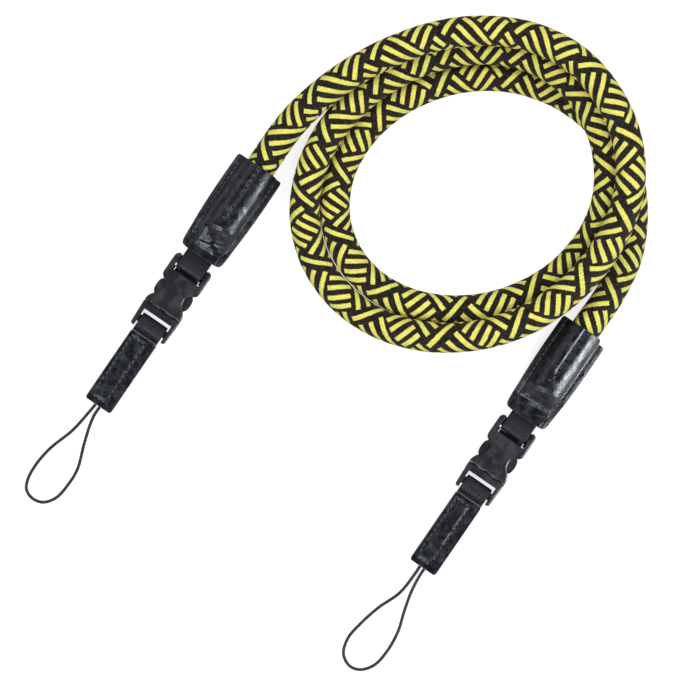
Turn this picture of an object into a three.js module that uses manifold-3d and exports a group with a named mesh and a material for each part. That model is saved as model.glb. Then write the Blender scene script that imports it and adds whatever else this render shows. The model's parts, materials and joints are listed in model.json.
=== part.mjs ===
// A round braided camera strap lying in a coil: a soft woven rope whose two ends are sewn into
// leather sleeves, each followed by a small side-release buckle, a leather tab and a cord loop.
// Millimetres, +Z up, resting on z = 0, origin under the middle of everything but the cord loops.

import * as THREE from 'three';
import { mergeVertices } from 'three/addons/utils/BufferGeometryUtils.js';
import Module from 'manifold-3d';

const wasm = await Module();
wasm.setup();

// Rope and coil
const ROPE_DIAMETER = 10.1;
const ROPE_SIDES = 12;
const ROPE_STEPS = 80;
const ROPE_TUCK = 24; // length of rope inside each sleeve
const HOLE_LONG = 86.1; // inner hole of the coil, long way
const HOLE_SHORT = 69.3;
const HOLE_TILT = 18; // degrees that the long way is turned up from the left-right line
const POINTS_PER_TURN = 24;
const END_HEADING = -124.4; // degrees, the way both strap ends point on the table

// Leather sleeves
const LEATHER = 1.2;
const SLEEVE_LENGTH = 37;
const SLEEVE_CORNER = 2;
const SLEEVE_MARGIN = 2.1; // flat sewn edge outside the bulge
const SLEEVE_DRAPE = 1.22; // half width of the bulge at the seam, in rope radii
const SLEEVE_SWELL = 0.5; // how far each side of the sleeve bows out halfway along
const LEATHER_TURN = 0.6; // how far the outside of a bend stands off, in wall thicknesses
const SLEEVE_TAPER = 4.5; // length before the band's tails over which the bulge turns from round to flat

// Bands
const BAND_WIDTH = 10;
const BAND_THICKNESS = 0.9;
const BAND_TAIL_GAP = 0.4; // between the two layers of a folded band
const SLEEVE_BAND_TAIL = 5; // length of band sewn into the sleeve
const TAB_BAND_TAIL = 17.5; // length of band sewn into the tab

// Side-release buckle
const BUCKLE_WIDTH = 14.8;
const BUCKLE_THICKNESS = 5.2;
const BUCKLE_EDGE = 0.5; // rounding of the moulded edges
const BAR_THICKNESS = 2;
const SOCKET_BAR = 3.4; // band bar of the socket, along the strap
const BAR_LENGTH = 2.6; // band bar of the plug, along the strap
const SLOT_SIDE_WALL = 1.8; // leg on each side of a band slot
const SOCKET_START = 2.8; // from the sleeve's end
const SOCKET_LENGTH = 20;
const SOCKET_SLOT = 2.5; // slot length along the strap
const SILL_HEIGHT = 1.15; // low sill that closes the socket's slot under the band's fold
const SOCKET_WALL = 1.1; // sides and faces round the pocket
const THUMB_DEPTH = 3.2; // side notch where the prongs are pressed
const THUMB_REACH = 4.2; // notch centre to the end of its curve towards the band
const THUMB_FROM_MOUTH = 7.4; // notch centre to the socket's open end
const POCKET_DEPTH = 11.4;
const PLUG_BAR = 2.6; // solid bar between the socket and the plug's slot
const PLUG_SLOT = 2.3;
const PLUG_TAPER = 0.4; // how much each leg leans in towards its end
const PLUG_LEG_OVERRUN = 1.8; // legs past the plug's band bar
const PRONG_WIDTH = 1.9;
const GUIDE_WIDTH = 2.4;

// Tab and cord loop
const TAB_LENGTH = 28.7;
const TAB_WIDTH = 10.5;
const TAB_LEATHER = 1.25;
const TAB_START = 3.2; // from the plug's band bar to the tab
const CORD_DIAMETER = 1.1;
const CORD_SIDES = 8;
const CORD_STEPS = 48;
const CORD_TUCK = 4;

const CLEARANCE = 0.3;
const LIFT = 0.12; // of the lying rope and cords off the table

// Course of the rope, clockwise from its left end: the clock hour (a full turn is 12), the lane
// outside the innermost lap and the height of the rope's middle, both in rope pitches.
const COURSE = [
  { hour: -2.77, lane: 2.59, level: 0.64 },
  { hour: -2.45, lane: 2.23, level: 0.84 },
  { hour: -2.2, lane: 2.06, level: 1.09 },
  { hour: -1.8, lane: 1.78, level: 1.55 },
  { hour: -1, lane: 1.5, level: 1.98 },
  { hour: 0.5, lane: 1.42, level: 2.08 },
  { hour: 1.2, lane: 1.27, level: 2.22 },
  { hour: 2, lane: 0.89, level: 2.36 },
  { hour: 3, lane: 0.66, level: 2.1 },
  { hour: 4, lane: 0.59, level: 1.47 },
  { hour: 5.5, lane: 0.8, level: 1.17 },
  { hour: 6.4, lane: 0.92, level: 1.0 },
  { hour: 7.2, lane: 1.01, level: 0.56 },
  { hour: 8.4, lane: 1.0, level: 0.55 },
  { hour: 9.2, lane: 0.93, level: 0.95 },
  { hour: 10, lane: 0.86, level: 1.06 },
  { hour: 11, lane: 0.82, level: 1.16 },
  { hour: 12.2, lane: 0.84, level: 1.24 },
  { hour: 13, lane: 0.7, level: 1.36 },
  { hour: 14, lane: 0.2, level: 1.6 },
  { hour: 14.6, lane: 0.02, level: 1.46 },
  { hour: 15.3, lane: 0, level: 1.0 },
  { hour: 16, lane: 0, level: 0.5 },
  { hour: 25, lane: 0, level: 0.5 },
  { hour: 26, lane: 0.22, level: 0.5 },
  { hour: 27, lane: 0.8, level: 0.5 },
  { hour: 27.9, lane: 1.48, level: 0.53 },
  { hour: 28.3, lane: 1.7, level: 0.57 },
  { hour: 28.67, lane: 2.0, level: 0.64 },
];

// Routes of the two cord loops on the table: millimetres along the strap from the tab's end, and
// across it to the left.
const LOOP_ROUTES = {
  left: [
    [3.5, -1.2], [11.7, -2.3], [21.9, -5.3], [29.3, -6.1], [34.8, -5.5], [37.9, -3.9], [39.2, -0.7],
    [38.3, 3.2], [34.5, 6.1], [28, 7], [22, 6.6], [13.9, 3.7], [7.5, 1.7], [3.5, 0.9],
  ],
  right: [
    [3.5, -0.8], [11.6, -1.4], [20.1, -4.6], [27.8, -6.5], [34.6, -7.3], [39.9, -5.6], [42.2, -1.7],
    [41.3, 2.2], [37.3, 5.4], [30.8, 6.4], [23.1, 5.7], [16.3, 3.6], [9.5, 1.8], [3.5, 1],
  ],
};

// Lengths worked out from the sizes above
const ROPE_RADIUS = ROPE_DIAMETER / 2;
const ROPE_PITCH = ROPE_DIAMETER + CLEARANCE;
const CORD_RADIUS = CORD_DIAMETER / 2;
const ROPE_ROOM = ROPE_RADIUS + CLEARANCE;
const MOUTH_HEIGHT = ROPE_ROOM + LEATHER;
const TAIL_HALF = BAND_TAIL_GAP / 2 + BAND_THICKNESS;
const BAND_ROOM = TAIL_HALF + CLEARANCE;
const BAR_HALF = BAR_THICKNESS / 2;
const FOLD_ROOM = BAR_HALF + CLEARANCE;
const HARDWARE_HEIGHT = Math.max(
  BAND_ROOM + LEATHER, BUCKLE_THICKNESS / 2, FOLD_ROOM + BAND_THICKNESS, BAND_ROOM + TAB_LEATHER,
);
const SLOT_HALF_WIDTH = BUCKLE_WIDTH / 2 - SLOT_SIDE_WALL;
const SOCKET_X = SLEEVE_LENGTH + SOCKET_START;
const SOCKET_END = SOCKET_X + SOCKET_LENGTH;
const POCKET_HALF_WIDTH = BUCKLE_WIDTH / 2 - SOCKET_WALL;
const POCKET_HALF_HEIGHT = BUCKLE_THICKNESS / 2 - SOCKET_WALL;
const PLUG_X = SOCKET_END + CLEARANCE;
const PLUG_SLOT_X = PLUG_X + PLUG_BAR;
const PLUG_BAR_X = PLUG_SLOT_X + PLUG_SLOT;
const PLUG_BAR_END = PLUG_BAR_X + BAR_LENGTH;
const TAB_X = PLUG_BAR_END + TAB_START;
const TAB_END = TAB_X + TAB_LENGTH;

const LEATHER_MATERIAL = { color: 0x1b1c1f, roughness: 0.42, metalness: 0 };
const BAND_MATERIAL = { color: 0x1d1e22, roughness: 0.7, metalness: 0 };
const PLASTIC_MATERIAL = { color: 0x26272a, roughness: 0.5, metalness: 0 };
const ROPE_MATERIAL = { color: 0xc9bf52, roughness: 0.9, metalness: 0 };
const CORD_MATERIAL = { color: 0x17171a, roughness: 0.8, metalness: 0 };

function namedMesh(name, geometry, material) {
  const mesh = new THREE.Mesh(geometry, new THREE.MeshStandardMaterial(material));
  mesh.name = name;
  return mesh;
}

// Booleans

function toSolid(geometry) {
  const bare = geometry.index ? geometry.toNonIndexed() : geometry.clone();
  bare.deleteAttribute('normal');
  bare.deleteAttribute('uv');
  const merged = mergeVertices(bare, 1e-4);
  return new wasm.Manifold(new wasm.Mesh({
    numProp: 3,
    vertProperties: new Float32Array(merged.attributes.position.array),
    triVerts: new Uint32Array(merged.index.array),
  }));
}

function toGeometry(solid) {
  const mesh = solid.getMesh();
  const geometry = new THREE.BufferGeometry();
  geometry.setAttribute('position', new THREE.BufferAttribute(new Float32Array(mesh.vertProperties), 3));
  geometry.setIndex(new THREE.BufferAttribute(new Uint32Array(mesh.triVerts), 1));
  geometry.computeVertexNormals();
  return geometry;
}

function box(x0, x1, halfWidth, z0, z1) {
  const geometry = new THREE.BoxGeometry(x1 - x0, 2 * halfWidth, z1 - z0);
  return geometry.translate((x0 + x1) / 2, 0, (z0 + z1) / 2);
}

// A shape drawn in x and z, made solid across the strap.
function acrossStrap(shape, width, curveSegments = 8) {
  const geometry = new THREE.ExtrudeGeometry(shape, { depth: width, bevelEnabled: false, curveSegments });
  return geometry.translate(0, 0, -width / 2).rotateX(Math.PI / 2);
}

// Rope

// Value of one column of the course at an hour, on a smooth curve through its rows.
function courseAt(hour, column) {
  const last = COURSE.length - 2;
  let row = COURSE.findIndex((entry) => entry.hour > hour) - 1;
  if (row < 0) row = last;
  const slope = (index) => {
    const before = COURSE[Math.max(index - 1, 0)];
    const after = COURSE[Math.min(index + 1, COURSE.length - 1)];
    return (after[column] - before[column]) / (after.hour - before.hour);
  };
  const from = COURSE[row];
  const to = COURSE[row + 1];
  const width = to.hour - from.hour;
  const t = (hour - from.hour) / width;
  return (
    (2 * t ** 3 - 3 * t ** 2 + 1) * from[column] + (t ** 3 - 2 * t ** 2 + t) * width * slope(row)
    + (3 * t ** 2 - 2 * t ** 3) * to[column] + (t ** 3 - t ** 2) * width * slope(row + 1)
  );
}

// Distance from the coil's middle to the innermost lap at an angle clockwise from twelve.
function lapRadius(angle) {
  const long = HOLE_LONG / 2 + ROPE_RADIUS;
  const short = HOLE_SHORT / 2 + ROPE_RADIUS;
  const turn = angle - THREE.MathUtils.degToRad(90 - HOLE_TILT);
  return (long * short) / Math.hypot(short * Math.cos(turn), long * Math.sin(turn));
}

function coilPoint(hour) {
  const angle = THREE.MathUtils.degToRad(30 * hour);
  const reach = lapRadius(angle) + courseAt(hour, 'lane') * ROPE_PITCH;
  const height = courseAt(hour, 'level') * ROPE_PITCH - CLEARANCE / 2;
  return new THREE.Vector3(
    reach * Math.sin(angle), reach * Math.cos(angle), Math.max(height, ROPE_RADIUS + LIFT),
  );
}

const FIRST_HOUR = COURSE[0].hour;
const LAST_HOUR = COURSE[COURSE.length - 1].hour;
const MOUTHS = { left: coilPoint(FIRST_HOUR), right: coilPoint(LAST_HOUR) };

function endPoint(side, along, height) {
  const heading = THREE.MathUtils.degToRad(END_HEADING);
  const mouth = MOUTHS[side];
  return new THREE.Vector3(
    mouth.x + along * Math.cos(heading), mouth.y + along * Math.sin(heading), height,
  );
}

function ropeRoute() {
  const tucked = (side) => [ROPE_TUCK, ROPE_TUCK / 2, 0].map((along) => endPoint(side, along, MOUTH_HEIGHT));
  const count = Math.round(((LAST_HOUR - FIRST_HOUR) / 12) * POINTS_PER_TURN);
  const points = tucked('left');
  for (let index = 1; index < count; index += 1) {
    points.push(coilPoint(FIRST_HOUR + ((LAST_HOUR - FIRST_HOUR) * index) / count));
  }
  return points.concat(tucked('right').reverse());
}

function tube(points, radius, sides, steps) {
  const section = new THREE.Shape();
  for (let side = 0; side < sides; side += 1) {
    const angle = (2 * Math.PI * side) / sides;
    const x = radius * Math.cos(angle);
    const y = radius * Math.sin(angle);
    if (side === 0) section.moveTo(x, y);
    else section.lineTo(x, y);
  }
  section.closePath();
  const extrudePath = new THREE.CatmullRomCurve3(points, false, 'centripetal');
  return new THREE.ExtrudeGeometry(section, { steps, extrudePath, bevelEnabled: false });
}

// Sleeves

// Height of the leather over the sleeve's middle plane, in parts of its height at the middle.
// It is a rope's round with the leather pulled straight down to the sewn margin, which turns
// into a flat top where the band lies inside.
function sleeveProfile(y, bulgeHalf, footHalf, flatness) {
  const share = y / bulgeHalf;
  const foot = Math.max(footHalf / bulgeHalf, 1.01);
  const touch = 1 / foot;
  const round = share < touch
    ? Math.sqrt(1 - share * share)
    : (Math.sqrt(1 - touch * touch) * (foot - share)) / (foot - touch);
  const flat = Math.min(1, (foot - share) / (foot - 1));
  return Math.max(0, round + (flat - round) * flatness);
}

function sleevePanel(side) {
  const geometry = new THREE.BoxGeometry(1, 2, 1, 14, 20, 1);
  const place = geometry.attributes.position;
  const bandHalf = BAND_WIDTH / 2 + CLEARANCE;
  const mouthFoot = ROPE_ROOM * SLEEVE_DRAPE;
  const endFoot = bandHalf + CLEARANCE;
  const bandStart = SLEEVE_LENGTH - SLEEVE_BAND_TAIL;
  for (let index = 0; index < place.count; index += 1) {
    const v = place.getY(index);
    const wall = place.getZ(index) > 0 ? LEATHER : 0;
    const edge = Math.max(0, Math.abs(v) * (endFoot + SLEEVE_MARGIN) - endFoot - SLEEVE_MARGIN + SLEEVE_CORNER);
    const corner = SLEEVE_CORNER - Math.sqrt(Math.max(0, SLEEVE_CORNER ** 2 - edge ** 2));
    const x = (place.getX(index) + 0.5) * (SLEEVE_LENGTH - corner);
    const share = x / SLEEVE_LENGTH;
    const foot = THREE.MathUtils.lerp(mouthFoot, endFoot, share) + SLEEVE_SWELL * Math.sin(Math.PI * share);
    const y = v * (foot + SLEEVE_MARGIN);
    const flatness = THREE.MathUtils.smoothstep(x, bandStart - SLEEVE_TAPER, bandStart);
    const close = THREE.MathUtils.smoothstep(x, ROPE_TUCK + CLEARANCE, bandStart);
    const turned = wall * LEATHER_TURN;
    const bulge = THREE.MathUtils.lerp(ROPE_ROOM + wall, bandHalf + turned, flatness);
    const rise = THREE.MathUtils.lerp(ROPE_ROOM, BAND_ROOM, close) + wall;
    const height = rise * sleeveProfile(Math.abs(y), bulge, foot + turned, flatness);
    const middle = THREE.MathUtils.lerp(MOUTH_HEIGHT, HARDWARE_HEIGHT, close);
    place.setXYZ(index, x, y, middle + side * Math.max(height, CLEARANCE / 2 + wall));
  }
  if (side < 0) {
    const order = geometry.index.array;
    for (let index = 0; index < order.length; index += 3) {
      [order[index + 1], order[index + 2]] = [order[index + 2], order[index + 1]];
    }
  }
  geometry.computeVertexNormals();
  return geometry;
}

// Bands

// A band folded round a bar. The profile starts at the bar's slot side and runs away from the
// fold, first over the bar and then with its two layers close together.
function foldedBand(barLength, tailEnd) {
  const outer = FOLD_ROOM + BAND_THICKNESS;
  const inner = FOLD_ROOM;
  const tailInner = BAND_TAIL_GAP / 2;
  const neck = barLength + CLEARANCE;
  const close = neck + outer;
  const shape = new THREE.Shape();
  shape.moveTo(tailEnd, TAIL_HALF);
  shape.lineTo(close, TAIL_HALF);
  shape.lineTo(neck, outer);
  shape.lineTo(BAR_HALF, outer);
  shape.absarc(BAR_HALF, 0, outer, Math.PI / 2, (3 * Math.PI) / 2, false);
  shape.lineTo(neck, -outer);
  shape.lineTo(close, -TAIL_HALF);
  shape.lineTo(tailEnd, -TAIL_HALF);
  shape.lineTo(tailEnd, -tailInner);
  shape.lineTo(close, -tailInner);
  shape.lineTo(neck, -inner);
  shape.lineTo(BAR_HALF, -inner);
  shape.absarc(BAR_HALF, 0, inner, (3 * Math.PI) / 2, Math.PI / 2, true);
  shape.lineTo(neck, inner);
  shape.lineTo(close, tailInner);
  shape.lineTo(tailEnd, tailInner);
  shape.closePath();
  return acrossStrap(shape, BAND_WIDTH);
}

function upperBand() {
  const barEnd = SOCKET_X + CLEARANCE + SOCKET_BAR;
  const band = foldedBand(SOCKET_BAR, barEnd - SLEEVE_LENGTH + SLEEVE_BAND_TAIL);
  return band.rotateZ(Math.PI).translate(barEnd, 0, HARDWARE_HEIGHT);
}

function lowerBand() {
  const band = foldedBand(BAR_LENGTH, TAB_X - PLUG_BAR_X + TAB_BAND_TAIL);
  return band.translate(PLUG_BAR_X, 0, HARDWARE_HEIGHT);
}

// Buckle

function plate(outline, thickness, bevel) {
  const geometry = new THREE.ExtrudeGeometry(outline, {
    depth: thickness - 2 * bevel,
    bevelEnabled: bevel > 0,
    bevelThickness: bevel,
    bevelSize: bevel,
    bevelOffset: -bevel,
    bevelSegments: 1,
    curveSegments: 8,
  });
  return geometry.translate(0, 0, HARDWARE_HEIGHT - thickness / 2 + bevel);
}

// Opens the frame between its legs for a band, and leaves a bar there that is round on the
// side of the fold.
function withBandBar(frame, openStart, openEnd, foldFace, farFace) {
  const way = Math.sign(farFace - foldFace);
  const opening = box(
    openStart, openEnd, SLOT_HALF_WIDTH,
    HARDWARE_HEIGHT - BUCKLE_THICKNESS, HARDWARE_HEIGHT + BUCKLE_THICKNESS,
  );
  const section = new THREE.Shape();
  section.moveTo(farFace, HARDWARE_HEIGHT - BAR_HALF);
  section.lineTo(farFace, HARDWARE_HEIGHT + BAR_HALF);
  section.absarc(
    foldFace + way * BAR_HALF, HARDWARE_HEIGHT, BAR_HALF, Math.PI / 2, -Math.PI / 2, way < 0,
  );
  section.closePath();
  const bar = acrossStrap(section, 2 * SLOT_HALF_WIDTH + SLOT_SIDE_WALL, 5);
  return frame.subtract(toSolid(opening)).add(toSolid(bar));
}

function socketOutline() {
  const half = BUCKLE_WIDTH / 2;
  const corner = SLOT_SIDE_WALL;
  const notchX = SOCKET_END - THUMB_FROM_MOUTH;
  const waist = half - THUMB_DEPTH;
  const steep = notchX - THUMB_REACH / 2;
  const gentle = (notchX + SOCKET_END) / 2;
  const shape = new THREE.Shape();
  shape.moveTo(SOCKET_X, half - corner);
  shape.absarc(SOCKET_X + corner, half - corner, corner, Math.PI, Math.PI / 2, true);
  shape.lineTo(notchX - THUMB_REACH, half);
  shape.bezierCurveTo(steep, half, steep, waist, notchX, waist);
  shape.bezierCurveTo(gentle, waist, gentle, half, SOCKET_END, half);
  shape.lineTo(SOCKET_END, -half);
  shape.bezierCurveTo(gentle, -half, gentle, -waist, notchX, -waist);
  shape.bezierCurveTo(steep, -waist, steep, -half, notchX - THUMB_REACH, -half);
  shape.absarc(SOCKET_X + corner, corner - half, corner, -Math.PI / 2, -Math.PI, true);
  shape.closePath();
  return shape;
}

function buckleSocket() {
  const barStart = SOCKET_X + CLEARANCE;
  const barEnd = barStart + SOCKET_BAR;
  const body = toSolid(plate(socketOutline(), BUCKLE_THICKNESS, BUCKLE_EDGE));
  const pocket = box(
    SOCKET_END - POCKET_DEPTH, SOCKET_END + BUCKLE_WIDTH, POCKET_HALF_WIDTH,
    HARDWARE_HEIGHT - POCKET_HALF_HEIGHT, HARDWARE_HEIGHT + POCKET_HALF_HEIGHT,
  );
  const slotEnd = barEnd + SOCKET_SLOT;
  const slotted = withBandBar(body, SOCKET_X - CLEARANCE, slotEnd, barEnd, barStart);
  const floor = HARDWARE_HEIGHT - BUCKLE_THICKNESS / 2;
  const sill = box(
    barEnd + CLEARANCE + BAND_THICKNESS, slotEnd + CLEARANCE, BAND_WIDTH / 2 - CLEARANCE,
    floor, floor + SILL_HEIGHT,
  );
  return toGeometry(slotted.subtract(toSolid(pocket)).add(toSolid(sill)));
}

// One spring prong in the pocket. Its thumb pad bulges out through the notch and fills it.
function prongOutline() {
  const root = PLUG_X + PLUG_BAR / 2;
  const inside = POCKET_HALF_WIDTH - CLEARANCE;
  const notchX = SOCKET_END - THUMB_FROM_MOUTH;
  const front = notchX + THUMB_FROM_MOUTH / 2;
  const back = notchX - THUMB_REACH / 2;
  const rise = BUCKLE_WIDTH / 2;
  const padInside = BUCKLE_WIDTH / 2 - THUMB_DEPTH - 2 * CLEARANCE;
  const shape = new THREE.Shape();
  shape.moveTo(root, inside);
  shape.lineTo(front, inside);
  shape.bezierCurveTo(front - CLEARANCE, rise, back + CLEARANCE, rise, back, inside);
  shape.lineTo(back - 3 * CLEARANCE, inside);
  shape.lineTo(back - 3 * CLEARANCE, padInside);
  shape.lineTo(front + CLEARANCE, padInside);
  shape.lineTo(front + CLEARANCE, inside - PRONG_WIDTH);
  shape.lineTo(root, inside - PRONG_WIDTH);
  shape.closePath();
  return shape;
}

function plugOutline() {
  const half = BUCKLE_WIDTH / 2;
  const legHalf = half - PLUG_TAPER;
  const end = PLUG_BAR_END + PLUG_LEG_OVERRUN;
  const corner = SLOT_SIDE_WALL / 2;
  const shape = new THREE.Shape();
  shape.moveTo(PLUG_X, half);
  shape.lineTo(end - corner, legHalf);
  shape.absarc(end - corner, legHalf - corner, corner, Math.PI / 2, 0, true);
  shape.absarc(end - corner, corner - legHalf, corner, 0, -Math.PI / 2, true);
  shape.lineTo(PLUG_X, -half);
  shape.closePath();
  return shape;
}

function bucklePlug() {
  const bladeHeight = 2 * (POCKET_HALF_HEIGHT - CLEARANCE);
  const frame = toSolid(plate(plugOutline(), BUCKLE_THICKNESS, BUCKLE_EDGE));
  const plug = withBandBar(frame, PLUG_SLOT_X, PLUG_BAR_END + BUCKLE_WIDTH, PLUG_BAR_X, PLUG_BAR_END);
  const prong = plate(prongOutline(), bladeHeight, 0);
  const guide = box(
    SOCKET_END - POCKET_DEPTH + 3 * CLEARANCE, PLUG_X + PLUG_BAR / 2, GUIDE_WIDTH / 2,
    HARDWARE_HEIGHT - bladeHeight / 2, HARDWARE_HEIGHT + bladeHeight / 2,
  );
  const farProng = prong.clone().translate(0, 0, -HARDWARE_HEIGHT).rotateX(Math.PI);
  farProng.translate(0, 0, HARDWARE_HEIGHT);
  return toGeometry([prong, farProng, guide].reduce((rest, piece) => rest.add(toSolid(piece)), plug));
}

// Tab

const CORD_LEVEL = TAB_LEATHER + CLEARANCE + CORD_RADIUS;

function sideProfile(points) {
  const shape = new THREE.Shape(points.map(([x, z]) => new THREE.Vector2(x, z)));
  return acrossStrap(shape, TAB_WIDTH);
}

// The back layer lies on the table. The front layer comes down from the band's tails to the
// cord's ends.
function tabLayers() {
  const overBand = HARDWARE_HEIGHT + TAIL_HALF + CLEARANCE;
  const overCord = CORD_LEVEL + CORD_RADIUS + CLEARANCE;
  const underside = [
    [TAB_X, overBand],
    [TAB_X + TAB_BAND_TAIL + CLEARANCE, overBand],
    [TAB_END - CORD_TUCK - CLEARANCE, overCord],
    [TAB_END, overCord],
  ];
  const topside = underside.map(([x, z]) => [x, z + TAB_LEATHER]).reverse();
  return {
    front: sideProfile(underside.concat(topside)),
    back: sideProfile([[TAB_X, 0], [TAB_END, 0], [TAB_END, TAB_LEATHER], [TAB_X, TAB_LEATHER]]),
  };
}

// Cord loops

function loopRoute(side) {
  const spread = CORD_RADIUS + CLEARANCE;
  const fall = (along) => THREE.MathUtils.lerp(CORD_LEVEL, CORD_RADIUS + LIFT, Math.min(1, along / 8));
  const route = LOOP_ROUTES[side].map(([along, across]) => new THREE.Vector3(
    TAB_END + along, across, fall(along),
  ));
  const inside = (across) => [-CORD_TUCK, 0].map((along) => new THREE.Vector3(
    TAB_END + along, across, CORD_LEVEL,
  ));
  return inside(-spread).concat(route, inside(spread).reverse());
}

function loopCord(side) {
  return tube(loopRoute(side), CORD_RADIUS, CORD_SIDES, CORD_STEPS);
}

// Assembly

const strap = new THREE.Group();
strap.name = 'strap';
strap.add(namedMesh('rope', tube(ropeRoute(), ROPE_RADIUS, ROPE_SIDES, ROPE_STEPS), ROPE_MATERIAL));

for (const side of ['left', 'right']) {
  const end = new THREE.Group();
  const tab = tabLayers();
  end.position.set(MOUTHS[side].x, MOUTHS[side].y, 0);
  end.rotation.z = THREE.MathUtils.degToRad(END_HEADING);
  end.add(
    namedMesh(`sleeve_upper_${side}`, sleevePanel(1), LEATHER_MATERIAL),
    namedMesh(`sleeve_lower_${side}`, sleevePanel(-1), LEATHER_MATERIAL),
    namedMesh(`upper_band_${side}`, upperBand(), BAND_MATERIAL),
    namedMesh(`buckle_socket_${side}`, buckleSocket(), PLASTIC_MATERIAL),
    namedMesh(`buckle_plug_${side}`, bucklePlug(), PLASTIC_MATERIAL),
    namedMesh(`lower_band_${side}`, lowerBand(), BAND_MATERIAL),
    namedMesh(`tab_front_${side}`, tab.front, LEATHER_MATERIAL),
    namedMesh(`tab_back_${side}`, tab.back, LEATHER_MATERIAL),
    namedMesh(`loop_cord_${side}`, loopCord(side), CORD_MATERIAL),
  );
  strap.add(end);
}

// The origin is under the middle of the strap without its cord loops.
strap.updateMatrixWorld(true);
const extent = new THREE.Box3();
strap.traverse((piece) => {
  if (piece.isMesh && !piece.name.startsWith('loop_cord')) extent.expandByObject(piece, true);
});
const middle = extent.getCenter(new THREE.Vector3());
strap.position.set(-middle.x, -middle.y, -extent.min.z);

export default strap;
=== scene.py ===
"""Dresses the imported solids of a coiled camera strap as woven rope, leather, webbing, plastic and cord.

Every piece is built in metres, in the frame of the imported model, where the strap lies on z = 0.
"""

import json
import logging
import math
from collections.abc import Callable, Iterable, Sequence
from dataclasses import dataclass, field
from enum import Enum

import bmesh
import bpy
import numpy as np
from mathutils import Matrix, Vector, noise

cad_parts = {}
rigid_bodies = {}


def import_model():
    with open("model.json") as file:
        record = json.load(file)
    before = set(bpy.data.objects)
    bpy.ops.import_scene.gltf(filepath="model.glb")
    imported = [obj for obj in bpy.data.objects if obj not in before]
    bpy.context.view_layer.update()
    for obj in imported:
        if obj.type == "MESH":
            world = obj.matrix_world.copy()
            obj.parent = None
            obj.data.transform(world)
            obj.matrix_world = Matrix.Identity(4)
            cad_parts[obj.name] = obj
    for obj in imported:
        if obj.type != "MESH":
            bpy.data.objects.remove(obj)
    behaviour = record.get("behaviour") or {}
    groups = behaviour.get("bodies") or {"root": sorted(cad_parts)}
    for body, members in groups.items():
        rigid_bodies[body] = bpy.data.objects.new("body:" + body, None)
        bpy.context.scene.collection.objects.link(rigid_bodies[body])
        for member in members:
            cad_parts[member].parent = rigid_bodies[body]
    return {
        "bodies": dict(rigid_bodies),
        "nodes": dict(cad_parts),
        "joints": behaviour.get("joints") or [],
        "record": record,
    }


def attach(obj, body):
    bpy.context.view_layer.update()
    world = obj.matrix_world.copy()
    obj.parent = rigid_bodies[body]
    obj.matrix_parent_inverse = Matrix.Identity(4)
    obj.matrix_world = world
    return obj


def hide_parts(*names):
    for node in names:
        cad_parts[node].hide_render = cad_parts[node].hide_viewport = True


LOG = logging.getLogger("strap")
MM = 0.001
BODY = "root"
FINE_STEPS = 24  # points between two of a route's own points, before they are spaced evenly


class Side(Enum):
    """The two ends of the strap, as they are seen from above."""

    LEFT = "left"
    RIGHT = "right"


class Slot(Enum):
    """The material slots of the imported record."""

    ROPE = "rope"
    LEATHER = "leather"
    BAND = "band"
    BUCKLE = "buckle"
    CORD = "cord"


Measure = float | Vector
Colour = tuple[float, float, float, float]
Feed = bpy.types.NodeSocket | float | tuple


# ---- shader sketches ----


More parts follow.
